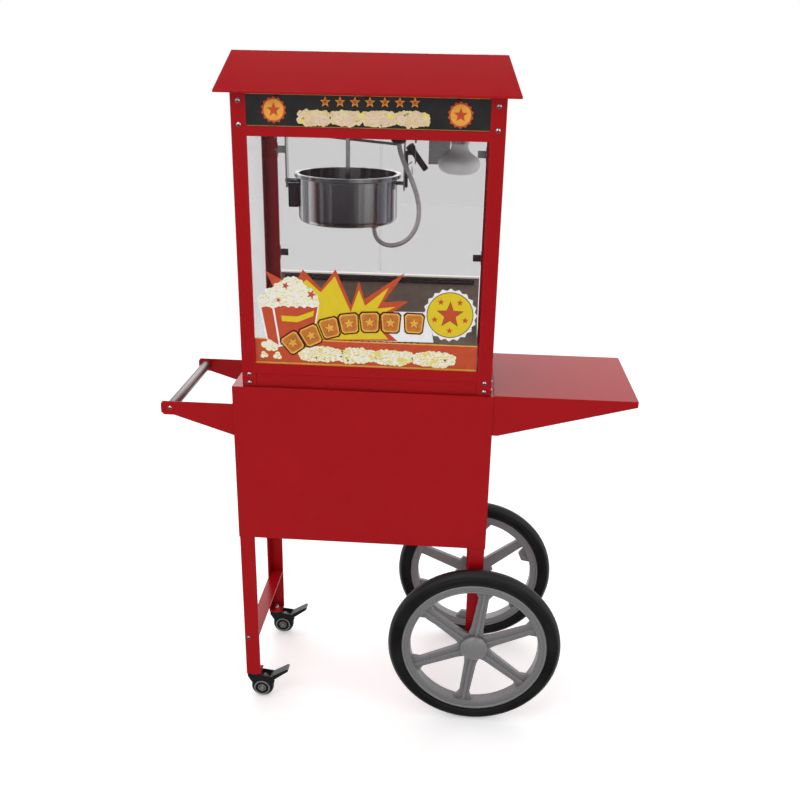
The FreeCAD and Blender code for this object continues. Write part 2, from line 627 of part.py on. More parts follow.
def rear_doors():
    y1 = MY - BODY_CLEAR
    y0 = y1 - GLASS_T
    z0, z1 = SILL_TOP + 2, HEADER_BOTTOM - 2
    for name, side in (("left", -1), ("right", 1)):
        post_edge = MACHINE_X + side * (MACHINE_W / 2 - POST - 1)
        middle = MACHINE_X + side * 0.5
        x0, x1 = sorted((post_edge, middle))
        save("rear_door_" + name, box(x0, x1, y0, y1, z0, z1))
        hx, hy = glass_hinge(side)
        fittings = []
        for z in glass_hinge_heights():
            knuckle = rod(V(hx, hy, z), Z, 2.8, 16)
            a, b = sorted((hx, post_edge - side * 18))
            leaf = box(a, b, hy - 2.8, hy - 1.3, z, z + 16)
            c, d = sorted((post_edge - side * 1, post_edge - side * 18))
            pad = box(c, d, y1, hy - 1.3, z, z + 16)
            fitting = fuse(knuckle, leaf, pad).cut(rod(V(hx, hy, z - 1), Z, 1.5 + RUN_CLEAR, 18))
            fittings.append(fitting)
        kx, kz = middle + side * 18, (z0 + z1) / 2
        knob = fuse(rod(V(kx, y1, kz), Y, 5, 12), rod(V(kx, y1 + 12, kz), Y, 10, 7))
        save("door_fittings_" + name, *fittings, knob)


# ---- kettle ----------------------------------------------------------------
def kettle_pot():
    """Open pot turned from sheet, with a rolled rim and two trunnion pins."""
    o = V(KETTLE_X, 0, 0)

    def p(r, z):
        return o + V(r, 0, z)

    c, t = POT_CORNER, POT_T
    k = math.sqrt(0.5)
    outer_mid = p(POT_R - c + c * k, POT_BOTTOM + c - c * k)
    inner_r = POT_R - t
    ci = c - t
    inner_mid = p(inner_r - ci + ci * k, POT_BOTTOM + t + ci - ci * k)
    edges = [Part.LineSegment(p(0, POT_BOTTOM), p(POT_R - c, POT_BOTTOM)).toShape(),
             Part.Arc(p(POT_R - c, POT_BOTTOM), outer_mid, p(POT_R, POT_BOTTOM + c)).toShape(),
             Part.LineSegment(p(POT_R, POT_BOTTOM + c), p(POT_R, POT_TOP - RIM_FLANGE_H)).toShape(),
             Part.LineSegment(p(POT_R, POT_TOP - RIM_FLANGE_H),
                              p(POT_R + RIM_FLANGE, POT_TOP - RIM_FLANGE_H)).toShape(),
             Part.LineSegment(p(POT_R + RIM_FLANGE, POT_TOP - RIM_FLANGE_H),
                              p(POT_R + RIM_FLANGE, POT_TOP)).toShape(),
             Part.LineSegment(p(POT_R + RIM_FLANGE, POT_TOP), p(inner_r, POT_TOP)).toShape(),
             Part.LineSegment(p(inner_r, POT_TOP), p(inner_r, POT_BOTTOM + c)).toShape(),
             Part.Arc(p(inner_r, POT_BOTTOM + c), inner_mid, p(inner_r - ci, POT_BOTTOM + t)).toShape(),
             Part.LineSegment(p(inner_r - ci, POT_BOTTOM + t), p(0, POT_BOTTOM + t)).toShape(),
             Part.LineSegment(p(0, POT_BOTTOM + t), p(0, POT_BOTTOM)).toShape()]
    pot = turned(edges, o, Z)
    pins = [rod(V(KETTLE_X + s * (POT_R - 0.5), 0, TILT_Z), X * s, TRUNNION_R,
                out + HANGER_T + 3 - POT_R + 0.5) for s, out in ((-1, HANGER_LEFT), (1, HANGER_RIGHT))]
    gland = rod(V(KETTLE_X + GLAND_OUT, 0, POT_BOTTOM - GLAND_H), Z, 9, GLAND_H)
    save("kettle_pot", fuse(pot, gland, *pins))


def kettle_fittings():
    """Terminal block on the pot's left, dump lever on its right trunnion."""
    x1 = KETTLE_X - POT_R - 1
    block = box(x1 - 20, x1, -14, 14, POT_BOTTOM + 28, TILT_Z - TRUNNION_R - 1)
    lug = box(x1 - 6, KETTLE_X - POT_R + 1.5, -5, 5, POT_BOTTOM + 40, POT_BOTTOM + 56)
    save("kettle_terminal", fuse(block, lug.cut(rod(V(KETTLE_X, 0, POT_BOTTOM), Z, POT_R, 80))))
    hx = KETTLE_X + HANGER_RIGHT + HANGER_T + BODY_CLEAR
    crank = fuse(rod(V(hx, 0, TILT_Z), X, 9, 5), box(hx, hx + 5, -6, 6, TILT_Z, TILT_Z + 66),
                 box(hx, hx + 15, -4, 4, TILT_Z + 58, TILT_Z + 66))
    crank = crank.cut(rod(V(hx - 1, 0, TILT_Z), X, TRUNNION_R, 4))
    top = V(hx + 15, 0, TILT_Z + 66)
    lean = V(28, 14, -40)
    lean.normalize()
    grip = rod(top - lean * 4, lean, 6.5, 52)
    end = rod(top - lean * 4, lean * -1, 9, 9)
    save("kettle_handle", fuse(crank, grip, end))


def stirrer():
    """Two-blade sweep on a boss, its round head level with the tilt axis."""
    z0 = POT_BOTTOM + POT_T + STIR_CLEAR
    o = V(KETTLE_X, 0, z0)
    post = rod(o, Z, ROD_R, TILT_Z - z0)
    head = Part.makeSphere(ROD_R, V(KETTLE_X, 0, TILT_Z))
    boss = rod(o, Z, 10, 14)
    blades = [box(KETTLE_X + min(0, s * STIR_R), KETTLE_X + max(0, s * STIR_R), -STIR_BAR / 2, STIR_BAR / 2,
                  z0, z0 + STIR_BAR) for s in (-1, 1)]
    save("stirrer", fuse(post, head, boss, *blades))


def drive():
    z0 = TILT_Z + ROD_R + BODY_CLEAR
    floor_top = HEADER_BOTTOM + PANEL_T
    shaft = rod(V(KETTLE_X, 0, z0), Z, ROD_R, floor_top + 18 - z0)
    save("drive_rod", shaft)
    w = MOTOR_W / 2
    case = box(KETTLE_X - w, KETTLE_X + w, -w, w, floor_top, floor_top + MOTOR_H)
    save("gear_motor", case.cut(rod(V(KETTLE_X, 0, floor_top - 1), Z, ROD_R + RUN_CLEAR, 21)))


def kettle_hangers():
    """Two hanging plates from the header floor, bored for the trunnions."""
    plates = []
    for s, out in ((-1, HANGER_LEFT), (1, HANGER_RIGHT)):
        x0 = KETTLE_X + s * out
        a, b = sorted((x0, x0 + s * HANGER_T))
        plate = box(a, b, -HANGER_W / 2, HANGER_W / 2, TILT_Z - 14, HEADER_BOTTOM)
        c, d = sorted((x0, x0 + s * 22))
        foot = box(c, d, -HANGER_W / 2, HANGER_W / 2, HEADER_BOTTOM - HANGER_T, HEADER_BOTTOM)
        plates.append(fuse(plate, foot).cut(rod(V(a - 1, 0, TILT_Z), X, TRUNNION_R + RUN_CLEAR, HANGER_T + 2)))
    save("kettle_hangers", *plates)


# ---- conduit and lamp ------------------------------------------------------
def conduit():
    """Flexible conduit: out of the header, round a hanging loop, up into the pot's gland."""
    gx, gz = KETTLE_X + GLAND_OUT, POT_BOTTOM - GLAND_H
    route = [V(60, -28, HEADER_BOTTOM), V(60, -28, 1296), V(74, -29, 1262), V(94, -29, 1222), V(106, -27, 1180),
             V(104, -23, 1140), V(84, -16, 1106), V(52, -8, 1090), V(24, -3, 1094), V(gx, 0, 1112), V(gx, 0, gz)]
    corners = []
    for a, b, c in zip(route, route[1:], route[2:]):
        u, w = b - a, c - b
        half = u.getAngle(w) / 2
        run = CONDUIT_PULL * min(u.Length, w.Length)
        corners.append((b, run, run / math.tan(half)))
    edges = []
    here = route[0]
    for (b, run, radius), a, c in zip(corners, route, route[2:]):
        back, on = (a - b), (c - b)
        back.normalize()
        on.normalize()
        p0, p1 = b + back * run, b + on * run
        bisect = back + on
        bisect.normalize()
        reach = math.hypot(radius, run) - radius
        edges.append(Part.LineSegment(here, p0).toShape())
        edges.append(Part.Arc(p0, b + bisect * reach, p1).toShape())
        here = p1
    edges.append(Part.LineSegment(here, route[-1]).toShape())
    path = Part.Wire(edges)
    start = route[1] - route[0]
    profile = Part.Wire(Part.Circle(route[0], start, CONDUIT_R).toShape())
    tube = path.makePipeShell([profile], True, False)
    print("conduit radii", [round(c[2], 1) for c in corners], "length", round(path.Length, 1),
          "volume ratio", round(tube.Volume / (math.pi * CONDUIT_R ** 2 * path.Length), 4))
    save("conduit", tube)


def lamp():
    """Mushroom reflector bulb in a socket under the header, beside a bracket plate."""
    o = V(LAMP_X, 0, 0)

    def p(r, z):
        return o + V(r, 0, LAMP_BOTTOM + z)

    edges = [Part.Arc(p(0, 0), p(LAMP_R * 0.72, 6), p(LAMP_R, 20)).toShape(),
             Part.Arc(p(LAMP_R, 20), p(LAMP_R * 0.86, 36), p(LAMP_NECK_R, 50)).toShape(),
             Part.LineSegment(p(LAMP_NECK_R, 50), p(LAMP_NECK_R - 4, 62)).toShape(),
             Part.LineSegment(p(LAMP_NECK_R - 4, 62), p(0, 62)).toShape(),
             Part.LineSegment(p(0, 62), p(0, 0)).toShape()]
    save("heat_lamp", turned(edges, o, Z))
    z0 = LAMP_BOTTOM + 62
    socket = rod(V(LAMP_X, 0, z0), Z, LAMP_NECK_R, HEADER_BOTTOM - z0)
    x0 = LAMP_X - LAMP_R - 22
    y0 = LAMP_R + 4
    plate = box(x0, x0 + 45, y0, y0 + 2, LAMP_BOTTOM + 14, HEADER_BOTTOM)
    foot = box(x0, x0 + 45, y0, y0 + 18, HEADER_BOTTOM - 2, HEADER_BOTTOM)
    save("lamp_holder", socket, fuse(plate, foot))


def main():
    os.makedirs("parts", exist_ok=True)
    cart_panels()
    cart_door()
    hinge_leaves()
    legs()
    wheel_axle()
    wheels()
    caster("front", -STEM_Y)
    caster("rear", STEM_Y)
    side_shelf()
    push_handle()
    screws()
    corner_posts()
    machine_base()
    crumb_drawer()
    popping_tray()
    header()
    rockers()
    roof()
    glazing()
    rear_doors()
    kettle_pot()
    kettle_fittings()
    stirrer()
    drive()
    kettle_hangers()
    conduit()
    lamp()


if __name__ == "__main__":
    main()
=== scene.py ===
"""Looks for a popcorn maker on a two-wheel cart, laid out as a Blender add-on."""

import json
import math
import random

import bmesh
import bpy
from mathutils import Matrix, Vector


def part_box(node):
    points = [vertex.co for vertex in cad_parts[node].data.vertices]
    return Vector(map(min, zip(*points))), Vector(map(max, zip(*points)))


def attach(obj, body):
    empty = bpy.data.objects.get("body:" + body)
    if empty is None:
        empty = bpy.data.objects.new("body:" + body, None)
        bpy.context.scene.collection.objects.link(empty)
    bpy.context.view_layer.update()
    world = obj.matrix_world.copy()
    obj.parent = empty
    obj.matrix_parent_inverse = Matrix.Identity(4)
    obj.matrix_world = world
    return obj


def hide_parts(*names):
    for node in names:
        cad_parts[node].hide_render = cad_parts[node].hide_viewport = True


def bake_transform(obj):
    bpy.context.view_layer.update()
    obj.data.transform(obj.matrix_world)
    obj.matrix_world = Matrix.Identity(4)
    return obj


bl_info = {
    "name": "Popcorn cart looks",
    "version": (1, 0, 0),
    "blender": (4, 5, 0),
    "location": "3D View > Sidebar > Popcorn",
    "description": "Builds the finishes, trim, printed art and studio round a popcorn cart's frame",
    "category": "Add Mesh",
}

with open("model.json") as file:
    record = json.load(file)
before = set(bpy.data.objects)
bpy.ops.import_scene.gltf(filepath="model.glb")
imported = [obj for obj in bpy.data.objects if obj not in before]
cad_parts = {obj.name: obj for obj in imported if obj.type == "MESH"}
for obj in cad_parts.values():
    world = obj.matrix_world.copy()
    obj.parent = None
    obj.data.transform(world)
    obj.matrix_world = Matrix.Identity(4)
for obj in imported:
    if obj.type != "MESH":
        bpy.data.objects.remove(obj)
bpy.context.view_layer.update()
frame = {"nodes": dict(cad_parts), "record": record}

MM = 0.001
MERGE = 1e-6                      # points nearer than this are one
ROOT = "root"
UP = Vector((0, 0, 1))
ALONG_Y = (0, 1, 0)
TURN = 2 * math.pi


# ---- mesh tools ------------------------------------------------------------
def finish_piece(name, bm, body, mats, replaces=(), smooth=True, bevel=0.0):
    """Turn a bmesh into a piece with its finish, that rides on a body if one is named."""
    bmesh.ops.remove_doubles(bm, verts=bm.verts, dist=MERGE)
    bmesh.ops.recalc_face_normals(bm, faces=bm.faces)
    mesh = bpy.data.meshes.new(name)
    bm.to_mesh(mesh)
    bm.free()
    obj = bpy.data.objects.new(name, mesh)
    bpy.context.scene.collection.objects.link(obj)
    for mat in mats:
        mesh.materials.append(material(mat))
    if smooth:
        mesh.shade_smooth()
        mesh.set_sharp_from_angle(angle=math.radians(35))
    if bevel:
        mod = obj.modifiers.new("Edges", "BEVEL")
        mod.width = bevel
        mod.segments = 2
        mod.limit_method = "ANGLE"
    if body:
        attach(obj, body)
    if replaces:
        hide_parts(*replaces)
    return obj


def block(bm, lo, hi, bevel):
    """A box between two corners, with rounded edges."""
    lo, hi = Vector(lo), Vector(hi)
    made = bmesh.ops.create_cube(bm, size=1.0)["verts"]
    bmesh.ops.scale(bm, verts=made, vec=hi - lo)
    bmesh.ops.translate(bm, verts=made, vec=(lo + hi) / 2)
    edges = list({e for v in made for e in v.link_edges})
    bmesh.ops.bevel(bm, geom=edges, offset=bevel, affect="EDGES", segments=3, profile=0.5, material=-1)


def towards(axis):
    """Rotation that takes +Z to an axis."""
    return Vector(axis).normalized().to_track_quat("Z", "Y").to_matrix().to_4x4()


def bar(bm, a, b, r, steps):
    """A round bar from one point to another."""
    a, b = Vector(a), Vector(b)
    bmesh.ops.create_cone(bm, cap_ends=True, segments=steps, radius1=r, radius2=r, depth=(b - a).length,
                          matrix=Matrix.Translation((a + b) / 2) @ towards(b - a))


def lathe(bm, profile, centre, axis, steps=64, closed=False):
    """Spin (radius, height) points about an axis through a centre."""
    place = Matrix.Translation(Vector(centre)) @ towards(axis)
    verts = [bm.verts.new(place @ Vector((max(r, 0.0), 0, h))) for r, h in profile]
    pairs = list(zip(verts, verts[1:])) + ([(verts[-1], verts[0])] if closed else [])
    edges = [bm.edges.new(pair) for pair in pairs]
    bmesh.ops.spin(bm, geom=verts + edges, cent=Vector(centre), axis=Vector(axis).normalized(),
                   angle=TURN, steps=steps, use_merge=True, use_duplicate=False)
    bmesh.ops.remove_doubles(bm, verts=bm.verts, dist=MERGE)


def loop_ring(bm, centre, axis, radius, tube, steps=72, sides=10):
    """A round ring of round section."""
    profile = [(radius + tube * math.cos(TURN * k / sides), tube * math.sin(TURN * k / sides))
               for k in range(sides)]
    lathe(bm, profile, centre, axis, steps, closed=True)


def prism(bm, points, move):
    """A flat outline of points, drawn out by a vector."""
    face = bm.faces.new([bm.verts.new(p) for p in points])
    moved = bmesh.ops.extrude_face_region(bm, geom=[face])["geom"]
    bmesh.ops.translate(bm, verts=[v for v in moved if isinstance(v, bmesh.types.BMVert)], vec=move)


def plate(bm, points, y, thick, index=0):
    """A flat outline of (x, z) points that faces the front, with a thickness behind it."""
    front = [bm.verts.new((x, y, z)) for x, z in points]
    back = [bm.verts.new((x, y + thick, z)) for x, z in points]
    faces = [bm.faces.new(front), bm.faces.new(back[::-1])]
    for k in range(len(points)):
        j = (k + 1) % len(points)
        faces.append(bm.faces.new((front[j], front[k], back[k], back[j])))
    for face in faces:
        face.material_index = index


def round_outline(cx, cz, rx, rz, count, start=0.0):
    """Points of an ellipse."""
    return [(cx + rx * math.cos(start + TURN * k / count), cz + rz * math.sin(start + TURN * k / count))
            for k in range(count)]


def star_outline(cx, cz, outer, inner, tips, start=math.pi / 2):
    """Points of a star, from the tip at the start angle."""
    points = []
    for k in range(2 * tips):
        r = outer if k % 2 == 0 else inner
        a = start + math.pi * k / tips
        points.append((cx + r * math.cos(a), cz + r * math.sin(a)))
    return points


def tube_along(bm, points, radius, sides=12):
    """A tube round a chain of points, with a radius for each point or one for all."""
    radii = radius if isinstance(radius, list) else [radius] * len(points)
    rings, normal = [], None
    for k, p in enumerate(points):
        ahead = points[min(k + 1, len(points) - 1)] - points[max(k - 1, 0)]
        ahead.normalize()
        normal = (normal or ahead.orthogonal()) - ahead * ahead.dot(normal or ahead.orthogonal())
        normal.normalize()
        side = ahead.cross(normal)
        rings.append([bm.verts.new(p + radii[k] * (normal * math.cos(TURN * s / sides)
                                                   + side * math.sin(TURN * s / sides))) for s in range(sides)])
    edges = [[bm.edges.new((ring[s], ring[(s + 1) % sides])) for s in range(sides)] for ring in rings]
    for a, b in zip(edges, edges[1:]):
        bmesh.ops.bridge_loops(bm, edges=a + b)
    bm.faces.new(rings[0])
    bm.faces.new(rings[-1])

def middle(node):
    """Centre of a node's box."""
    lo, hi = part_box(node)
    return (lo + hi) / 2


# ---- finishes --------------------------------------------------------------
FINISHES = {}
SOCKETS = {"rough": "Roughness", "metal": "Metallic", "spec": "Specular IOR Level", "coat": "Coat Weight",
           "alpha": "Alpha", "glow": "Emission Strength"}


def finish(name, colour, bumps=None, roughness=None, **shade):
    """Note down a finish.

    colour and roughness are (grain, low, high) or (grain, low, high, ramp ends), bumps is (grain, height
    in mm) or (grain, height in mm, rounding of edges in mm), and a grain is (scale, detail) or
    (scale, detail, stretch along each axis).
    """
    FINISHES[name] = (colour, bumps, roughness, {"metal": 0.0, "spec": 0.5, "coat": 0.0, **shade})


def ink(name, colour, shade):
    """A printed colour with a little press grain, shaded towards a second colour in clouds."""
    finish(name, ((70, 3), shade, colour), ((900, 2), 0.01), rough=0.38, spec=0.35)


finish("red_powder_coat", ((6, 4), ("red", 0.97), ("red", 1.03)), ((520, 2), 0.03, 1.2), ((40, 5), 0.22, 0.26),
       rough=0.3, spec=0.24)
finish("brushed_stainless", ((30, 6, (1, 40, 40)), (0.50, 0.50, 0.51), (0.66, 0.66, 0.67)),
       ((30, 6, (1, 40, 40)), 0.02, 0.8), ((30, 6, (1, 40, 40)), 0.22, 0.40), rough=0.28, metal=1.0)
# pot metal: fine rings round the pot in the bumps, and upright bright and dark streaks in the colour that are painted
# reflections
finish("spun_stainless", ((34, 3, (1.0, 1.0, 0.01)), (0.22, 0.23, 0.25), (0.97, 0.97, 0.98), (0.46, 0.60)),
       ((900, 2, (0.02, 0.02, 1)), 0.03), ((34, 3, (1.0, 1.0, 0.01)), 0.14, 0.26), rough=0.2, metal=1.0)
finish("hose_steel", ((200, 3), (0.58, 0.58, 0.60), (0.80, 0.80, 0.81)), ((400, 2), 0.02), rough=0.28, metal=0.6)
# inside of the pot, dulled by oil
# steel of the stirrer inside the pot, near black and far darker than the pot's outside
finish("pot_interior", ((45, 4), (0.05, 0.05, 0.052), (0.12, 0.118, 0.115)), ((45, 4), 0.05), rough=0.35, metal=0.9)
# steel tinted warm olive-beige: painted reflection of the popcorn in the tray
finish("tray_steel", ((70, 5), (0.44, 0.38, 0.31), (0.52, 0.48, 0.40)), ((120, 3, (1, 30, 30)), 0.02, 0.8),
       ((70, 5), 0.3, 0.46), rough=0.38, metal=0.55)
finish("polished_chrome", ((60, 3), (0.62, 0.62, 0.64), (0.78, 0.78, 0.79)), ((300, 2), 0.01, 0.4),
       ((60, 3), 0.08, 0.2), rough=0.1, metal=1.0)
finish("push_bar_steel", ((60, 4, (30, 1, 30)), (0.20, 0.17, 0.17), (0.28, 0.25, 0.25)),
       ((60, 4, (30, 1, 30)), 0.02, 1.0), rough=0.36, metal=0.9)
finish("rim_silver_paint", ((700, 2), ("rim", 0.8), ("rim", 1.15)), ((260, 3), 0.06, 1.5), rough=0.42, metal=0.35)
finish("tyre_black", ((18, 5), (0.006, 0.006, 0.006), (0.014, 0.013, 0.013)), ((420, 3), 0.08),
       ((18, 5), 0.36, 0.56), rough=0.5, spec=0.4)
finish("black_moulding", ((380, 3), (0.012, 0.012, 0.013), (0.022, 0.022, 0.023)), ((380, 3), 0.06, 0.8),
       rough=0.45, spec=0.4)
finish("caster_black", ((160, 3), (0.006, 0.006, 0.007), (0.012, 0.012, 0.013)), ((160, 3), 0.03, 0.8),
       rough=0.3, spec=0.28)
finish("caster_grey", ((200, 3), 0.22, 0.34), ((200, 3), 0.03), rough=0.4, metal=0.3)
# acrylic: mostly see-through, with a faint cool body
finish("clear_pane", ((3, 2), (0.060, 0.035, 0.042), (0.085, 0.055, 0.062)), ((4, 1), 0.05), rough=0.04, alpha=0.13)
finish("reflector_bulb", ((40, 3), (0.76, 0.77, 0.80), (0.86, 0.87, 0.90)), ((40, 3), 0.1), rough=0.3, coat=0.3)
finish("header_black", ((30, 4), (0.010, 0.009, 0.009), (0.020, 0.017, 0.017)), ((300, 2), 0.02), rough=0.25)
finish("white_ceramic", ((120, 3), (0.50, 0.49, 0.48), (0.62, 0.61, 0.60)), rough=0.35)
finish("pale_floor", ((3, 3), 0.93, 0.96), rough=0.7, spec=0.2, glow=0.35)

ink("ink_yellow", (0.70, 0.55, 0.012), (0.72, 0.50, 0.010))
ink("ink_gold", (0.82, 0.42, 0.06), (0.74, 0.32, 0.04))
ink("ink_orange", (0.56, 0.075, 0.020), (0.50, 0.060, 0.018))
ink("ink_amber", (0.58, 0.20, 0.025), (0.50, 0.14, 0.020))
ink("ink_cream", (0.80, 0.76, 0.62), (0.84, 0.82, 0.74))
ink("ink_white", (0.84, 0.83, 0.84), (0.78, 0.77, 0.78))
ink("ink_butter", (0.74, 0.62, 0.10), (0.76, 0.68, 0.30))
ink("ink_blush", (0.66, 0.47, 0.42), (0.74, 0.62, 0.52))
ink("ink_brown", (0.035, 0.012, 0.006), (0.0322, 0.01104, 0.00552))


def link(tree, a, out, b, socket):
    """Join one node's output to another's input."""
    tree.links.new(a.outputs[out], b.inputs[socket])


def noise(tree, scale, detail, stretch=(1, 1, 1)):
    """Noise on object coordinates, stretched along each axis."""
    place = tree.nodes.new("ShaderNodeTexCoord")
    mapping = tree.nodes.new("ShaderNodeMapping")
    mapping.inputs["Scale"].default_value = stretch
    link(tree, place, "Object", mapping, "Vector")
    node = tree.nodes.new("ShaderNodeTexNoise")
    node.inputs["Scale"].default_value = scale
    node.inputs["Detail"].default_value = detail
    link(tree, mapping, "Vector", node, "Vector")
    return node


def rgb(value):
    """A colour from a grey level, a colour, or the name of a colour setting and a factor."""
    if isinstance(value, float):
        return (value, value, value)
    if isinstance(value[0], str):
        return [min(1.0, c * value[1]) for c in getattr(bpy.context.scene.popcorn_finish, value[0])]
    return value


def ramp(tree, socket, grain, low, high, ends=(0.3, 0.7)):
    """Spread noise between two values or colours into a shader socket."""
    node = tree.nodes.new("ShaderNodeValToRGB")
    for element, end, value in zip(node.color_ramp.elements, ends, (low, high)):
        element.position = end
        element.color = (*rgb(value), 1)
    link(tree, noise(tree, *grain), "Fac", node, "Fac")
    tree.links.new(node.outputs["Color"], socket)


def bump(tree, shader, grain, height, rounded=0.0):
    """Raise noise by a height, and round the edges the light sees, both in mm."""
    node = tree.nodes.new("ShaderNodeBump")
    node.inputs["Strength"].default_value = 1.0
    node.inputs["Distance"].default_value = height * MM
    link(tree, noise(tree, *grain), "Fac", node, "Height")
    if rounded:
        edge = tree.nodes.new("ShaderNodeBevel")
        edge.samples = 4
        edge.inputs["Radius"].default_value = rounded * MM
        link(tree, edge, "Normal", node, "Normal")
    link(tree, node, "Normal", shader, "Normal")


def material(name):
    """A finish's material, built the first time it is asked for."""
    known = bpy.data.materials.get(name)
    if known:
        return known
    mat = bpy.data.materials.new(name)
    mat.use_nodes = True
    tree, shader = mat.node_tree, mat.node_tree.nodes["Principled BSDF"]
    colour, bumps, roughness, shade = FINISHES[name]
    for key, value in shade.items():
        shader.inputs[SOCKETS[key]].default_value = value
    shader.inputs["Coat Roughness"].default_value = 0.06
    if "glow" in shade:
        shader.inputs["Emission Color"].default_value = (1, 1, 1, 1)
    ramp(tree, shader.inputs["Base Color"], *colour)
    if roughness:
        ramp(tree, shader.inputs["Roughness"], *roughness)
    if bumps:
        bump(tree, shader, *bumps)
    return mat


# ---- settings --------------------------------------------------------------
def length_setting(name, description, default):
    """A setting that is a length in metres."""
    return bpy.props.FloatProperty(name=name, description=description, default=default, unit="LENGTH")


def colour_setting(name, description, default):
    """A setting that is a colour."""
    return bpy.props.FloatVectorProperty(name=name, description=description, default=default,
                                         subtype="COLOR", size=3, min=0, max=1)


class PopcornFinish(bpy.types.PropertyGroup):
    """Colours that a user would change."""
    red: colour_setting("Cabinet red", "Gloss coat on the cart and cabinet", (0.37, 0.0030, 0.0062))
    rim: colour_setting("Rim silver", "Paint on the spoked rims", (0.29, 0.284, 0.292))


class PopcornSizes(bpy.types.PropertyGroup):
    """Sizes of the trim that is added to the frame."""
    tread_groove: length_setting("Tread groove", "Depth of the tyre's grooves", 0.0012)
    flute: length_setting("Post flute", "Width of one rib on a corner post", 0.0046)
    screw_dome: length_setting("Screw dome", "Height of a pan head", 0.0022)
    hose_ridge: length_setting("Hose ridge", "Pitch of the conduit's ridges", 0.0030)
    print_lift: length_setting("Print lift", "Thickness of one printed layer", 0.00004)


class PopcornStudio(bpy.types.PropertyGroup):
    """Camera and light."""
    camera_place: bpy.props.FloatVectorProperty(
        name="Camera", description="Where the camera stands", subtype="TRANSLATION", size=3,
        default=(0.1349, -2.0373, 1.4809))
    camera_yaw: bpy.props.FloatProperty(
        name="Yaw", description="Turn to the left", subtype="ANGLE", default=0.0653)
    camera_pitch: bpy.props.FloatProperty(
        name="Pitch", description="Tilt down from level", subtype="ANGLE", default=0.3816)
    camera_roll: bpy.props.FloatProperty(
        name="Roll", description="Roll about the view", subtype="ANGLE", default=0.02)
    lens: bpy.props.FloatProperty(
        name="Lens", description="Focal length for a 36 mm frame", subtype="DISTANCE_CAMERA", default=42.524)
    rise: bpy.props.FloatProperty(
        name="Rise", description="Upward shift of the frame", default=0.0375)

class Step:
    """One step of the build, as an operator: what it makes is in build()."""
    def execute(self, context):
        self.build(context.scene)
        return {"FINISHED"}


# ---- studio ----------------------------------------------------------------
# customer's side of the room: (height of a direction, light)
FRONT_ROOM = ((-0.16, 0.05), (-0.09, 0.50), (0.42, 0.55), (0.62, 0.24), (1.0, 0.40))
ROOM_BLEND = 0.30                 # half the band, along Y, where the front room turns into the white back
# name, place, aim, size in m, power in W
LAMPS = (("key_panel", (-1.2, -2.3, 3.1), (0, 0, 0.8), 1.6, 26),
         ("right_panel", (2.4, -1.6, 2.1), (0, 0, 0.8), 1.3, 12),
         ("top_panel", (0.0, 0.2, 3.2), (0, 0, 0), 1.8, 16),
         ("back_panel", (-0.6, 2.6, 2.2), (0, 0, 0.9), 1.6, 12))


class POPCORN_OT_studio(Step, bpy.types.Operator):
    """Camera, pale floor, soft lamps and the bright room behind"""
    bl_idname = "popcorn.studio"
    bl_label = "Studio"

    def build(self, scene):
        studio = scene.popcorn_studio
        scene.view_settings.view_transform = "Standard"
        camera = bpy.data.cameras.new("camera")
        camera.sensor_width = 36.0
        camera.lens = studio.lens
        camera.shift_y = studio.rise
        eye = bpy.data.objects.new("camera", camera)
        scene.collection.objects.link(eye)
        eye.matrix_world = (Matrix.Translation(Vector(studio.camera_place))
                            @ Matrix.Rotation(studio.camera_yaw, 4, "Z")
                            @ Matrix.Rotation(math.pi / 2 - studio.camera_pitch, 4, "X")
                            @ Matrix.Rotation(studio.camera_roll, 4, "Z"))
        scene.camera = eye
        self.room(scene)
        self.floor(scene)
        for lamp in LAMPS:
            self.lamp(*lamp)

    def lamp(self, name, place, aim, size, power):
        data = bpy.data.lights.new(name, "AREA")
        data.size = size
        data.energy = power
        obj = bpy.data.objects.new(name, data)
        obj.matrix_world = Matrix.Translation(place) @ towards(Vector(place) - Vector(aim))
        bpy.context.scene.collection.objects.link(obj)

    def spread(self, tree, split, axis, reach):
        """Map one axis of a direction, from minus to plus a reach, to 0-1."""
        node = tree.nodes.new("ShaderNodeMapRange")
        node.inputs["From Min"].default_value = -reach
        node.inputs["From Max"].default_value = reach
        link(tree, split, axis, node, "Value")
        return node

    def room(self, scene):
        """White behind, a soft bright band on the customer's side, and dark below and in front."""
        world = bpy.data.worlds.new("room")
        scene.world = world
        world.use_nodes = True
        tree = world.node_tree
        place = tree.nodes.new("ShaderNodeTexCoord")
        split = tree.nodes.new("ShaderNodeSeparateXYZ")
        link(tree, place, "Generated", split, "Vector")
        front = tree.nodes.new("ShaderNodeValToRGB")
        elements = front.color_ramp.elements
        elements.remove(elements[1])
        for k, (height, level) in enumerate(FRONT_ROOM):
            element = elements.new((height + 1) / 2) if k else elements[0]
            element.position = (height + 1) / 2
            element.color = (level, level, level, 1)
        link(tree, self.spread(tree, split, "Z", 1.0), "Result", front, "Fac")
        back = self.spread(tree, split, "Y", ROOM_BLEND)
        back.interpolation_type = "SMOOTHSTEP"
        mix = tree.nodes.new("ShaderNodeMix")
        mix.data_type = "RGBA"
        colours = [i for i in mix.inputs if i.type == "RGBA"]
        link(tree, back, "Result", mix, "Factor")
        tree.links.new(front.outputs["Color"], colours[0])
        colours[1].default_value = (1, 1, 1, 1)
        mixed = [o for o in mix.outputs if o.type == "RGBA"][0]
        tree.links.new(mixed, tree.nodes["Background"].inputs["Color"])

    def floor(self, scene):
        bm = bmesh.new()
        bmesh.ops.create_grid(bm, x_segments=8, y_segments=8, size=7.0)
        bmesh.ops.translate(bm, verts=bm.verts, vec=(0, 1.0, 0))
        mesh = bpy.data.meshes.new("studio_floor")
        bm.to_mesh(mesh)
        bm.free()
        floor = bpy.data.objects.new("studio_floor", mesh)
        mesh.materials.append(material("pale_floor"))
        scene.collection.objects.link(floor)
        floor.visible_glossy = False


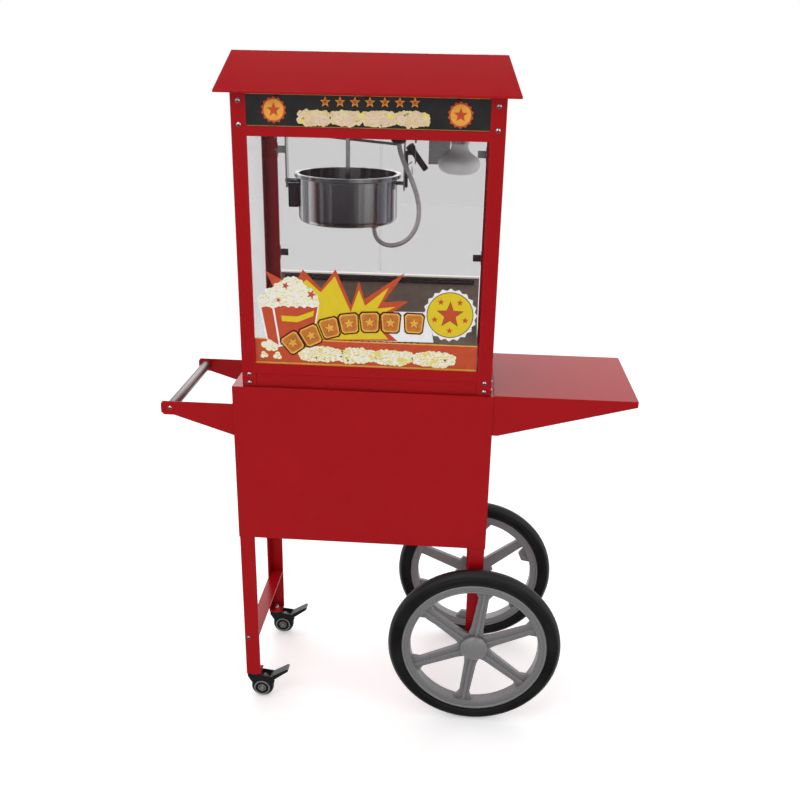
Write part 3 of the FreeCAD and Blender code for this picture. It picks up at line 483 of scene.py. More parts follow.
# ---- conduit ---------------------------------------------------------------
CONDUIT_ROUTE = [(-0.011, -0.028, 1.322), (-0.011, -0.028, 1.296), (0.003, -0.029, 1.262), (0.023, -0.029, 1.222),
                 (0.035, -0.027, 1.180), (0.033, -0.023, 1.140), (0.013, -0.016, 1.106), (-0.019, -0.008, 1.090),
                 (-0.047, -0.003, 1.094), (-0.063, 0.0, 1.112), (-0.063, 0.0, 1.132)]
CONDUIT_D = 0.0105
RIDGE = (1.0, 0.96, 0.88, 0.96)          # radius over one pitch of the ridges


class POPCORN_OT_conduit(Step, bpy.types.Operator):
    """Ridged steel conduit that hangs in a loop from the header to the kettle"""
    bl_idname = "popcorn.conduit"
    bl_label = "Conduit"

    def build(self, scene):
        curve = bpy.data.curves.new("conduit_line", "CURVE")
        curve.dimensions = "3D"
        spline = curve.splines.new("NURBS")
        spline.points.add(len(CONDUIT_ROUTE) - 1)
        for point, place in zip(spline.points, CONDUIT_ROUTE):
            point.co = (*place, 1)
        spline.order_u = 3
        spline.use_endpoint_u = True
        spline.resolution_u = 24
        guide = bpy.data.objects.new("conduit_line", curve)
        scene.collection.objects.link(guide)
        depsgraph = bpy.context.evaluated_depsgraph_get()
        line = bpy.data.meshes.new_from_object(guide.evaluated_get(depsgraph))
        points = [v.co.copy() for v in line.vertices]
        bpy.data.objects.remove(guide)
        length = sum((b - a).length for a, b in zip(points, points[1:]))
        pitch = scene.popcorn_sizes.hose_ridge
        path = self.spaced(points, length, int(length / pitch) * len(RIDGE))
        radii = [CONDUIT_D / 2 * RIDGE[k % len(RIDGE)] for k in range(len(path))]
        bm = bmesh.new()
        tube_along(bm, path, radii, sides=16)
        piece = finish_piece("conduit_hose", bm, None, ["hose_steel"], ["conduit"])
        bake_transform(piece)
        self.nuts()

    def spaced(self, points, length, count):
        """Points at an even spacing along the line."""
        out, step, index = [], length / count, 0
        ends = [0.0]
        for a, b in zip(points, points[1:]):
            ends.append(ends[-1] + (b - a).length)
        for k in range(count + 1):
            reach = min(k * step, length)
            while index < len(points) - 2 and ends[index + 1] < reach:
                index += 1
            part = (reach - ends[index]) / (ends[index + 1] - ends[index])
            out.append(points[index].lerp(points[index + 1], min(1.0, part)))
        return out

    def nuts(self):
        """Hexagonal gland nuts: one under the header, one under the pot."""
        top, foot = Vector(CONDUIT_ROUTE[0]), Vector(CONDUIT_ROUTE[-1])
        for name, body, at, drop in (("conduit_top_nut", ROOT, top, -0.010),
                                     ("conduit_pot_nut", "kettle", foot, -0.006)):
            bm = bmesh.new()
            profile = [(0.0056, 0), (0.0088, 0), (0.0088, drop * 0.8), (0.0070, drop), (0.0056, drop)]
            lathe(bm, profile, at, UP, steps=6, closed=True)
            finish_piece(name, bm, body, ["polished_chrome"], bevel=0.0004)


# ---- carried-over nodes ----------------------------------------------------
NODE_FINISH = {
    "red_paint": "red_powder_coat", "stainless": "brushed_stainless", "chrome": "polished_chrome",
    "rim_paint": "rim_silver_paint", "tyre_rubber": "tyre_black", "black_plastic": "black_moulding",
    "clear_glass": "clear_pane", "fascia": "header_black", "bulb_glass": "reflector_bulb",
    "bar_steel": "push_bar_steel", "caster_black": "caster_black", "switch_plastic": "black_moulding",
}


NODE_OWN_FINISH = {"kettle_pot": "spun_stainless", "popping_tray": "tray_steel", "stirrer": "pot_interior",
                   "kettle_hangers": "brushed_stainless", "drive_rod": "polished_chrome"}

class POPCORN_OT_frame_finish(Step, bpy.types.Operator):
    """Finishes on the frame's own parts"""
    bl_idname = "popcorn.frame_finish"
    bl_label = "Frame finish"

    def build(self, scene):
        for row in frame["record"]["subparts"]:
            obj = frame["nodes"][row["node"]]
            obj.data.materials.clear()
            own = NODE_OWN_FINISH.get(row["node"], NODE_FINISH[row["material_slot"]])
            obj.data.materials.append(material(own))


# ---- big wheels ------------------------------------------------------------
# rings on a wheel: (side, measured from the rim's radius, radius, tube, steps, sides)
WHEEL_RINGS = (("face", True, -0.0035, 0.0034, 128, 12), ("face", True, -0.0175, 0.0020, 128, 10),
               ("back", True, -0.0030, 0.0026, 128, 10), ("face", False, 0.0255, 0.0024, 48, 10),
               ("back", False, 0.0240, 0.0028, 48, 10))
TREAD_POINTS = 16                 # steps round the crown of a tyre
GROOVES = (5, 8, 11)              # the steps that are cut in
SPOKES = 6
FIRST_SPOKE = 22.5                # degrees
# plates on a spoke: (near radius, far radius, half width near, half width far, thickness)
SPOKE_FEET = ((0.128, 0.1495, 0.0108, 0.024, 0.011), (0.024, 0.048, 0.0185, 0.0140, 0.0113))


class POPCORN_OT_wheels(Step, bpy.types.Operator):
    """Grooved tyres, rim lips, hub rings, spoke feet and hub domes on the two big wheels"""
    bl_idname = "popcorn.wheels"
    bl_label = "Spoked wheels"

    def build(self, scene):
        groove = scene.popcorn_sizes.tread_groove
        for name, out in (("front", -1), ("rear", 1)):
            tyre = name + "_wheel_tyre"
            lo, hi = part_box(tyre)
            c = (lo + hi) / 2
            radius, half = (hi.z - lo.z) / 2, (hi.y - lo.y) / 2
            rim_lo, rim_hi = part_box(name + "_wheel_rim")
            rim_r, rim_half = (rim_hi.z - rim_lo.z) / 2, (rim_hi.y - rim_lo.y) / 2
            bm = bmesh.new()
            lathe(bm, self.tyre_profile(rim_r, radius, half, groove), c, (0, out, 0), 128, closed=True)
            finish_piece(tyre + "_moulded", bm, name + "_wheel", ["tyre_black"], [tyre])
            sides = {"face": c + Vector((0, out * rim_half, 0)), "back": c - Vector((0, out * rim_half, 0))}
            bm = bmesh.new()
            for side, from_rim, radius, *ring in WHEEL_RINGS:
                loop_ring(bm, sides[side], ALONG_Y, radius + (rim_r if from_rim else 0), *ring)
            finish_piece(name + "_rim_lips", bm, name + "_wheel", ["rim_silver_paint"])
            self.feet(name, c, out)
            cap_lo, cap_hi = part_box(name + "_hub_cap")
            reach = max(abs(cap_lo.y), abs(cap_hi.y)) - abs(sides["face"].y)
            bm = bmesh.new()
            dome = [(0, reach), (0.011, reach), (0.020, reach * 0.86), (0.0265, reach * 0.62), (0.030, reach * 0.3),
                    (0.0315, 0.0005), (0.0315, -0.0015), (0.0125, -0.0015), (0.0125, -0.004), (0, -0.004)]
            lathe(bm, dome, sides["face"], (0, out, 0))
            finish_piece(name + "_hub_dome", bm, name + "_wheel", ["rim_silver_paint"],
                         [name + "_hub_cap"])

    def tyre_profile(self, inner, outer, half, groove):
        """Section from the bead round the crown: side ribs, shoulder and three tread grooves."""
        wall = 0.5 * (outer - inner)
        side = [(inner + 0.0004, -half), (inner + 0.0030, -half), (inner + 0.0040, -half + 0.0008),
                (inner + 0.0052, -half), (inner + wall, -half), (inner + wall + 0.0008, -half + 0.0008)]
        crown = []
        for k in range(1, TREAD_POINTS):
            a = math.pi * k / TREAD_POINTS
            r = inner + wall + (outer - inner - wall) * math.sin(a)
            crown.append((r - (groove if k in GROOVES else 0), -half * math.cos(a)))
        return side + crown + [(r, -y) for r, y in reversed(side)]

    def feet(self, name, c, out):
        """Flared plates where each spoke meets the rim and the hub."""
        bm = bmesh.new()
        y = Vector((0, out, 0))
        for k in range(SPOKES):
            a = math.radians(FIRST_SPOKE) + TURN * k / SPOKES
            d = Vector((math.cos(a), 0, math.sin(a)))
            side = Vector((-math.sin(a), 0, math.cos(a)))
            for near, far, near_half, far_half, thick in SPOKE_FEET:
                near, far = c + d * near - y * 0.0055, c + d * far - y * 0.0055
                prism(bm, [near + side * near_half, far + side * far_half,
                           far - side * far_half, near - side * near_half], y * thick)
        finish_piece(name + "_spoke_feet", bm, name + "_wheel", ["rim_silver_paint"], bevel=0.0012)


# ---- casters ---------------------------------------------------------------
BORE = 0.0041                     # radius of a roller's bore
PEDAL_LEAN = Vector((0.036, 0, 0.026)).normalized()
PEDAL_RIBS = 4


class POPCORN_OT_casters(Step, bpy.types.Operator):
    """Rubber rollers, grey rings beside them and ribbed brake pedals"""
    bl_idname = "popcorn.casters"
    bl_label = "Casters"

    def build(self, scene):
        for end in ("front", "rear"):
            node = "caster_" + end + "_wheel"
            lo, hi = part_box(node)
            c, r, half = (lo + hi) / 2, (hi.z - lo.z) / 2, (hi.y - lo.y) / 2
            bm = bmesh.new()
            half_profile = [(BORE, -half * 0.9), (r * 0.62, -half * 0.9), (r * 0.66, -half), (r * 0.86, -half),
                            (r * 0.97, -half * 0.72), (r, -half * 0.3)]
            profile = half_profile + [(p, -y) for p, y in reversed(half_profile)]
            lathe(bm, profile, c, ALONG_Y, closed=True)
            finish_piece("caster_" + end + "_roller_tread", bm, "caster_" + end + "_roller", ["tyre_black"],
                         [node])
            bm = bmesh.new()
            for s in (-1, 1):
                face = c + Vector((0, s * (half + 0.0041), 0))
                loop_ring(bm, face, ALONG_Y, r * 0.66, 0.0016, 48, 8)
                lathe(bm, [(0, s * 0.0036), (0.0042, s * 0.0030), (0.0058, 0.0), (0, 0)], face, ALONG_Y, 6)
                loop_ring(bm, face, ALONG_Y, 0.0082, 0.0014, 32, 8)
            finish_piece("caster_" + end + "_side_rings", bm, "caster_" + end, ["caster_grey"])
            self.pedal(end)

    def pedal(self, end):
        """Ribs across the tread of a brake pedal."""
        lo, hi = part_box("caster_" + end + "_pedal")
        bm = bmesh.new()
        tip = Vector((hi.x - 0.004, 0, hi.z - 0.0022))
        for k in range(PEDAL_RIBS):
            at = tip - PEDAL_LEAN * (0.0015 + 0.0055 * k)
            bar(bm, (at.x, lo.y + 0.002, at.z), (at.x, hi.y - 0.002, at.z), 0.0011, 10)
        finish_piece("caster_" + end + "_pedal_ribs", bm, "caster_" + end + "_brake", ["caster_black"])


# ---- screws ----------------------------------------------------------------
CABINET_FOOT = 0.8                # screws above this height are in the cabinet, the others in the cart
SLOT_HALF = 0.0004                # half width of a slot


class POPCORN_OT_screws(Step, bpy.types.Operator):
    """Pan heads in place of the plain heads, with crossed slots drawn as flat black strips of painted shade"""
    bl_idname = "popcorn.screws"
    bl_label = "Screws"

    def build(self, scene):
        bm = bmesh.new()
        dome = scene.popcorn_sizes.screw_dome
        for lo, hi in self.heads():
            size, centre = hi - lo, (lo + hi) / 2
            flat = min(range(3), key=lambda k: size[k])
            box_mid = middle("corner_posts" if centre.z > CABINET_FOOT else "cart_floor")
            out = Vector((0, 0, 0))
            out[flat] = 1.0 if centre[flat] > box_mid[flat] else -1.0
            base = centre - out * size[flat] / 2
            r = max(size) / 2
            profile = [(r, 0), (r * 0.97, dome * 0.45), (r * 0.72, dome * 0.85), (r * 0.35, dome), (0, dome)]
            lathe(bm, profile, base, out, 24)
            lathe(bm, [(r * 1.16, 0), (r * 1.12, 0.0004), (r * 0.9, 0.0004)], base, out, 24)
            across = out.orthogonal().normalized()
            for arm in (across, out.cross(across)):
                side = out.cross(arm) * SLOT_HALF
                top = base + out * (dome + 0.00003)
                a, b = top - arm * r * 0.42, top + arm * r * 0.42
                # each slot is a flat black strip laid on the dome: painted shade of the recess
                face = bm.faces.new([bm.verts.new(p) for p in (a - side, b - side, b + side, a + side)])
                face.material_index = 1
        finish_piece("pan_head_screws", bm, ROOT, ["polished_chrome", "black_moulding"], ["screws"])

    def heads(self):
        """The box of each separate head in the frame's screw node."""
        bm = bmesh.new()
        bm.from_mesh(frame["nodes"]["screws"].data)
        bmesh.ops.remove_doubles(bm, verts=bm.verts, dist=MERGE)
        left, boxes = set(bm.verts), []
        while left:
            group, queue = set(), [left.pop()]
            while queue:
                v = queue.pop()
                group.add(v)
                for e in v.link_edges:
                    w = e.other_vert(v)
                    if w in left:
                        left.discard(w)
                        queue.append(w)
            xs = [v.co for v in group]
            boxes.append((Vector(min(c[k] for c in xs) for k in range(3)),
                          Vector(max(c[k] for c in xs) for k in range(3))))
        bm.free()
        return boxes


# ---- cart and cabinet trim -------------------------------------------------
TRAY_RAIL_Z = 0.984
FLANGE = 0.030                    # width of a corner post's flanges
PROUD = 0.00015                   # how far a rib's middle lies inside the flange's face


class POPCORN_OT_cart_trim(Step, bpy.types.Operator):
    """Push bar's tube and plugs, shelf hem and the rail behind the tray"""
    bl_idname = "popcorn.cart_trim"
    bl_label = "Cart trim"

    def build(self, scene):
        lo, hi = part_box("handle_bar")
        c = (lo + hi) / 2
        r = (hi.z - lo.z) / 2
        bm = bmesh.new()
        profile = [(r - 0.0002, lo.y), (r, lo.y + 0.0006), (r, hi.y - 0.0006), (r - 0.0002, hi.y), (0, hi.y), (0, lo.y)]
        lathe(bm, [(p, y - c.y) for p, y in profile], c, ALONG_Y, 48)
        finish_piece("push_bar_tube", bm, ROOT, ["push_bar_steel"], ["handle_bar"])
        self.shelf_edge()
        self.bar_plugs(c)
        self.tray_rail()

    def shelf_edge(self):
        """Hem that stiffens the lower edge of the shelf skirt."""
        lo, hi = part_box("side_shelf")
        bm = bmesh.new()
        for y in (lo.y + 0.0022, hi.y - 0.0022):
            tube_along(bm, [Vector((lo.x + 0.004, y, lo.z + 0.0016)), Vector((hi.x - 0.006, y, hi.z - 0.0125))],
                       0.0011, 10)
        finish_piece("shelf_hem", bm, ROOT, ["red_powder_coat"])

    def bar_plugs(self, c):
        """Plugs where the push bar ends in the handle's plates."""
        lo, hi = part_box("handle_arms")
        bm = bmesh.new()
        for y, out in ((lo.y, -1), (hi.y, 1)):
            at = Vector((c.x, y - out * 0.0018, c.z))
            lathe(bm, [(0.0085, 0), (0.0085, 0.0011), (0.0064, 0.0016), (0, 0.0017)], at, (0, out, 0), 28)
        finish_piece("push_bar_plugs", bm, ROOT, ["polished_chrome"])

    def tray_rail(self):
        """Dark rail along the back of the popping tray."""
        lo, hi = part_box("popping_tray")
        bm = bmesh.new()
        y = hi.y - 0.012
        tube_along(bm, [Vector((lo.x + 0.012, y, TRAY_RAIL_Z)), Vector((hi.x - 0.012, y, TRAY_RAIL_Z))], 0.0052)
        finish_piece("tray_back_rail", bm, ROOT, ["black_moulding"])


class POPCORN_OT_posts(Step, bpy.types.Operator):
    """Fine upright ribs on the outer flanges of the four corner posts, and the roof's tabs"""
    bl_idname = "popcorn.posts"
    bl_label = "Ribbed posts"

    def build(self, scene):
        lo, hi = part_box("corner_posts")
        pitch = scene.popcorn_sizes.flute
        bm = bmesh.new()
        for x, sx in ((lo.x, 1), (hi.x, -1)):
            for y, sy in ((lo.y, 1), (hi.y, -1)):
                for k in range(1, int(FLANGE / pitch)):
                    s = k * pitch
                    for rx, ry in ((x + sx * s, y + sy * PROUD), (x + sx * PROUD, y + sy * s)):
                        tube_along(bm, [Vector((rx, ry, lo.z + 0.002)), Vector((rx, ry, hi.z - 0.001))], 0.00045, 6)
        finish_piece("post_ribs", bm, ROOT, ["red_powder_coat"])
        self.tabs(lo, hi)

    def tabs(self, lo, hi):
        """Small folded tabs under the eave that hold the roof."""
        bm = bmesh.new()
        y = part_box("header_fascia")[0].y + 0.002
        for x in (lo.x + 0.09, lo.x + 0.265, hi.x - 0.09):
            block(bm, (x - 0.006, y - 0.002, hi.z - 0.0055), (x + 0.006, y + 0.001, hi.z), 0.0008)
        finish_piece("roof_tabs", bm, ROOT, ["red_powder_coat"])


class POPCORN_OT_door_trim(Step, bpy.types.Operator):
    """Rings and edge beads on the glass doors, and the face of the cupboard's lock"""
    bl_idname = "popcorn.door_trim"
    bl_label = "Door trim"

    def build(self, scene):
        for side, sign in (("left", -1), ("right", 1)):
            lo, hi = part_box("rear_door_" + side)
            inner = hi.x if side == "left" else lo.x
            bm = bmesh.new()
            at = Vector((inner + sign * 0.045, hi.y + 0.0006, (lo.z + hi.z) / 2 + 0.05))
            loop_ring(bm, at, ALONG_Y, 0.0088, 0.0006, 32, 6)
            x, y = inner + sign * 0.0012, hi.y + 0.0007
            tube_along(bm, [Vector((x, y, lo.z + 0.004)), Vector((x, y, hi.z - 0.004))], 0.0009, 8)
            finish_piece("glass_door_bead_" + side, bm, "glass_door_" + side, ["clear_pane"])
        lo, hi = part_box("cart_door")
        bm = bmesh.new()
        lock = Vector(((lo.x + hi.x) / 2 + 0.15, hi.y, (lo.z + hi.z) / 2))
        lathe(bm, [(0.0105, 0), (0.0105, 0.0012), (0.0080, 0.0019), (0, 0.0019)], lock, ALONG_Y, 32)
        finish_piece("cupboard_lock_face", bm, "cupboard_door", ["polished_chrome"])


# ---- machine ---------------------------------------------------------------
# bands round the pot: (height from the floor, radius, tube, sides)
WALL_BAND = (1.2310, 0.1046, 0.0011, 8)
LATCH_WIRE = ((-0.004, -0.016, 1.268), (-0.012, -0.017, 1.262), (-0.014, -0.018, 1.248),
              (-0.009, -0.018, 1.239), (-0.003, -0.018, 1.245), (-0.004, -0.017, 1.258))
TERMINAL_RIBS = 5


class POPCORN_OT_kettle(Step, bpy.types.Operator):
    """Bands round the pot, hanger bolts, slotted plate, latch wire and ribs on the terminal block"""
    bl_idname = "popcorn.kettle"
    bl_label = "Kettle"

    def build(self, scene):
        self.pot()
        self.hangers()
        self.latch()
        self.terminal()

    def pot(self):
        """A bead round the wall and a rolled rim."""
        x, top = middle("stirrer").x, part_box("kettle_pot")[1].z
        bm = bmesh.new()
        for z, radius, tube, sides in (WALL_BAND, (top - 0.0018, 0.1085, 0.0022, 10)):
            loop_ring(bm, (x, 0, z), UP, radius, tube, 96, sides)
        finish_piece("pot_bands", bm, "kettle", ["brushed_stainless"])

    def hangers(self):
        """Bolts and slotted plate of the two hangers, held by the header."""
        lo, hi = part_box("kettle_hangers")
        bm = bmesh.new()
        for x, out in ((lo.x, -1), (hi.x, 1)):
            for z in (hi.z - 0.014, hi.z - 0.040):
                at = Vector((x, 0.0, z))
                lathe(bm, [(0.0048, 0), (0.0048, 0.003), (0.0030, 0.0038), (0, 0.0038)], at, (out, 0, 0), 6)
        finish_piece("hanger_bolts", bm, ROOT, ["polished_chrome"])
        bm = bmesh.new()
        block(bm, (hi.x + 0.0006, -0.005, 1.262), (hi.x + 0.0026, 0.010, 1.292), 0.0005)
        finish_piece("hanger_slot_plate", bm, ROOT, ["caster_grey"])

    def latch(self):
        """Wire latch that hooks the pot at the grip side."""
        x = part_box("kettle_hangers")[1].x
        bm = bmesh.new()
        tube_along(bm, [Vector((x + dx, y, z)) for dx, y, z in LATCH_WIRE], 0.0012, 8)
        finish_piece("grip_latch_wire", bm, ROOT, ["polished_chrome"])

    def terminal(self):
        """Ribs moulded in the terminal block."""
        lo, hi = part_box("kettle_terminal")
        bm = bmesh.new()
        for k in range(TERMINAL_RIBS):
            z = lo.z + (hi.z - lo.z) * (k + 0.5) / TERMINAL_RIBS
            block(bm, (lo.x - 0.0008, lo.y + 0.002, z - 0.0012), (lo.x + 0.001, hi.y - 0.002, z + 0.0012), 0.0003)
        finish_piece("terminal_ribs", bm, "kettle", ["black_moulding"])


# the bulb's section: (part of its radius, part of its height)
BULB = ((0, 0), (0.35, 0.012), (0.62, 0.05), (0.84, 0.13), (0.96, 0.23), (1.0, 0.335), (0.985, 0.43),
        (0.90, 0.53), (0.74, 0.62), (0.57, 0.70), (0.46, 0.78), (0.41, 0.86), (0.40, 0.93), (0.40, 1.0), (0, 1.0))


class POPCORN_OT_lamp(Step, bpy.types.Operator):
    """Mushroom reflector bulb with a screw shell and a ceramic collar"""
    bl_idname = "popcorn.lamp"
    bl_label = "Heat lamp"

    def build(self, scene):
        lo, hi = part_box("heat_lamp")
        c, r, h = (lo + hi) / 2, (hi.x - lo.x) / 2, hi.z - lo.z
        bm = bmesh.new()
        lathe(bm, [(r * a, h * b) for a, b in BULB], Vector((c.x, c.y, lo.z)), UP, 72)
        finish_piece("lamp_bulb", bm, ROOT, ["reflector_bulb"], ["heat_lamp"])
        bm = bmesh.new()
        for k in range(4):
            loop_ring(bm, (c.x, c.y, hi.z + 0.001 - 0.0028 * k), UP, 0.0150, 0.0011, 40, 8)
        finish_piece("lamp_screw_shell", bm, ROOT, ["polished_chrome"])
        bm = bmesh.new()
        loop_ring(bm, (c.x, c.y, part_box("lamp_holder")[1].z - 0.003), UP, 0.0215, 0.0016, 48, 8)
        finish_piece("lamp_collar", bm, ROOT, ["white_ceramic"])


class POPCORN_OT_ceiling(Step, bpy.types.Operator):
    """Tie bar and the conduit's bushing under the header"""
    bl_idname = "popcorn.ceiling"
    bl_label = "Header underside"

    def build(self, scene):
        bm = bmesh.new()
        tube_along(bm, [Vector((-0.186, 0.022, 1.3120)), Vector((-0.018, 0.022, 1.2985))], 0.0028)
        finish_piece("ceiling_tie_bar", bm, ROOT, ["caster_grey"])
        bm = bmesh.new()
        lathe(bm, [(0.0165, 0), (0.0165, -0.009), (0.0145, -0.014), (0.009, -0.018), (0, -0.019)],
              Vector((-0.011, -0.028, 1.3222)), UP, 40)
        finish_piece("conduit_bushing", bm, ROOT, ["black_moulding"])


# ---- printed art -----------------------------------------------------------
SHAPE_STEP = 0.000003             # keeps overlapping shapes of one layer from sharing a plane
SHAPE_CYCLE = 64
BAND = ((-301, 169), (864, 914), (860, 864), (913.5, 916))      # ends, then heights of the band and its two lines
BAND_PILES = ((478, 690), (700, 697), (932, 704), (1190, 712))
LOOSE_CORN = ((125, 700, 8), (210, 705, 9), (150, 640, 13), (190, 655, 8))
STREAK = ((760, 428), (1150, 432), (1185, 612), (700, 606))
BURST_RIM = ((148, 198), (250, 250), (330, 270), (380, 190), (490, 300), (580, 188), (675, 398), (722, 255),
             (757, 358), (1002, 203), (872, 375), (1027, 368), (935, 432), (860, 520), (962, 606), (640, 606),
             (290, 606), (230, 560), (215, 330))
BURST = ((240, 262), (340, 300), (402, 248), (488, 322), (575, 228), (672, 436), (722, 306), (760, 398),
         (905, 288), (835, 414), (948, 402), (872, 440), (838, 520), (905, 596), (640, 600), (330, 600),
         (300, 520), (250, 340))
TUB = ((96, 372), (480, 380), (440, 600), (205, 655), (140, 600))
TUB_SIDE = ((112, 380), (184, 400), (220, 640), (152, 600))
TUB_FRONT = ((196, 402), (470, 396), (432, 590), (232, 640))
TUB_RIBBON = ((240, 462), (340, 466), (445, 430), (440, 462), (340, 500), (245, 494))
MOUND = ((112, 400), (122, 345), (182, 300), (250, 252), (330, 246), (405, 290), (470, 335), (478, 405))
HEAP_ROWS = ((285, 385, 170), (285, 350, 160), (290, 315, 128), (300, 283, 84), (310, 255, 40))
HEAP_STARS = ((272, 285, 8.5), (430, 335, 10.5), (226, 370, 6))
PENNANTS = ((310, 625, 35), (424, 580, 26), (542, 532, 16), (662, 504, 8), (790, 495, 3), (918, 497, 0),
            (1062, 500, -1))
TILE = ((-1, 0.75), (-0.75, 1), (0.75, 1), (1, 0.75), (0.86, -0.8), (0.62, -1), (-0.62, -1), (-0.86, -0.8))


class Printer(Step):
    """Lays flat printed shapes on an upright face, in mm."""
    shapes = 0

    def start(self, scene, node, seed):
        """Take up the face of a node and a row of random numbers."""
        self.lift = scene.popcorn_sizes.print_lift
        self.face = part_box(node)[0].y
        self.random = random.Random(seed)

    def layer(self, bm, outline, depth, index):
        """One printed shape; a higher depth lies nearer to the customer."""
        self.shapes = (self.shapes + 1) % SHAPE_CYCLE
        y = self.face - self.lift * (depth + 1) - SHAPE_STEP * self.shapes
        plate(bm, [(x * MM, z * MM) for x, z in outline], y, self.lift, index)

    def publish(self, name, bm, inks, slot="clear_glass"):
        finish_piece(name, bm, ROOT, inks, smooth=False)

    def corn(self, bm, x, z, size, depth):
        """One popped kernel: a rim, overlapping lobes and two butter spots, in inks 0, 1 and 2."""
        turn = self.random.uniform(0, TURN)
        lobes = self.random.choice((3, 4, 5))
        for index, grow in ((0, 1.2), (1, 1.0)):
            for k in range(lobes):
                a = turn + TURN * k / lobes
                cx, cz = x + size * 0.52 * math.cos(a), z + size * 0.48 * math.sin(a)
                lobe = round_outline(cx, cz, size * 0.52 * grow, size * 0.48 * grow, 10, a)
                self.layer(bm, lobe, depth + index, index)
        for k in range(2):
            a = turn + 2.3 + 2.1 * k
            cx, cz = x + size * 0.4 * math.cos(a), z + size * 0.4 * math.sin(a)
            self.layer(bm, round_outline(cx, cz, size * 0.34, size * 0.16, 8, a), depth + 2, 2)

    def pile(self, bm, cx, cz, half_w, half_h, size, depth):
        """A heap of kernels that thins out towards its ends."""
        self.layer(bm, round_outline(cx, cz, half_w * 0.98, half_h * 1.05, 28), depth, 0)
        count = int(2 * half_w / size * 2.2)
        for k in range(count):
            t = -1 + 2 * (k + 0.5) / count
            reach = half_h * math.sqrt(1 - 0.8 * t * t)
            for row in (-0.75, -0.1, 0.6):
                x = cx + half_w * t + self.random.uniform(-size, size) * 0.5
                z = cz + reach * row + self.random.uniform(-size, size) * 0.3
                self.corn(bm, x, z, size * self.random.uniform(0.8, 1.15), depth + 1 + 3 * ((k + int(row * 3)) % 4))


def on_pane(cx, cz):
    """Design grid of the front pane's art, in steps of about a third of a millimetre, to (x, z) in mm."""
    return -272 + 0.3369 * (cx - 148), 1059 + 0.0086 * (cx - 148) - 0.358 * (cz - 198)


def on_header(cx, cz):
    """The same for the header's art."""
    return -298 + 0.3569 * (cx - 133), 1400 - 0.319 * (cz - 58 - 0.0129 * (cx - 133))


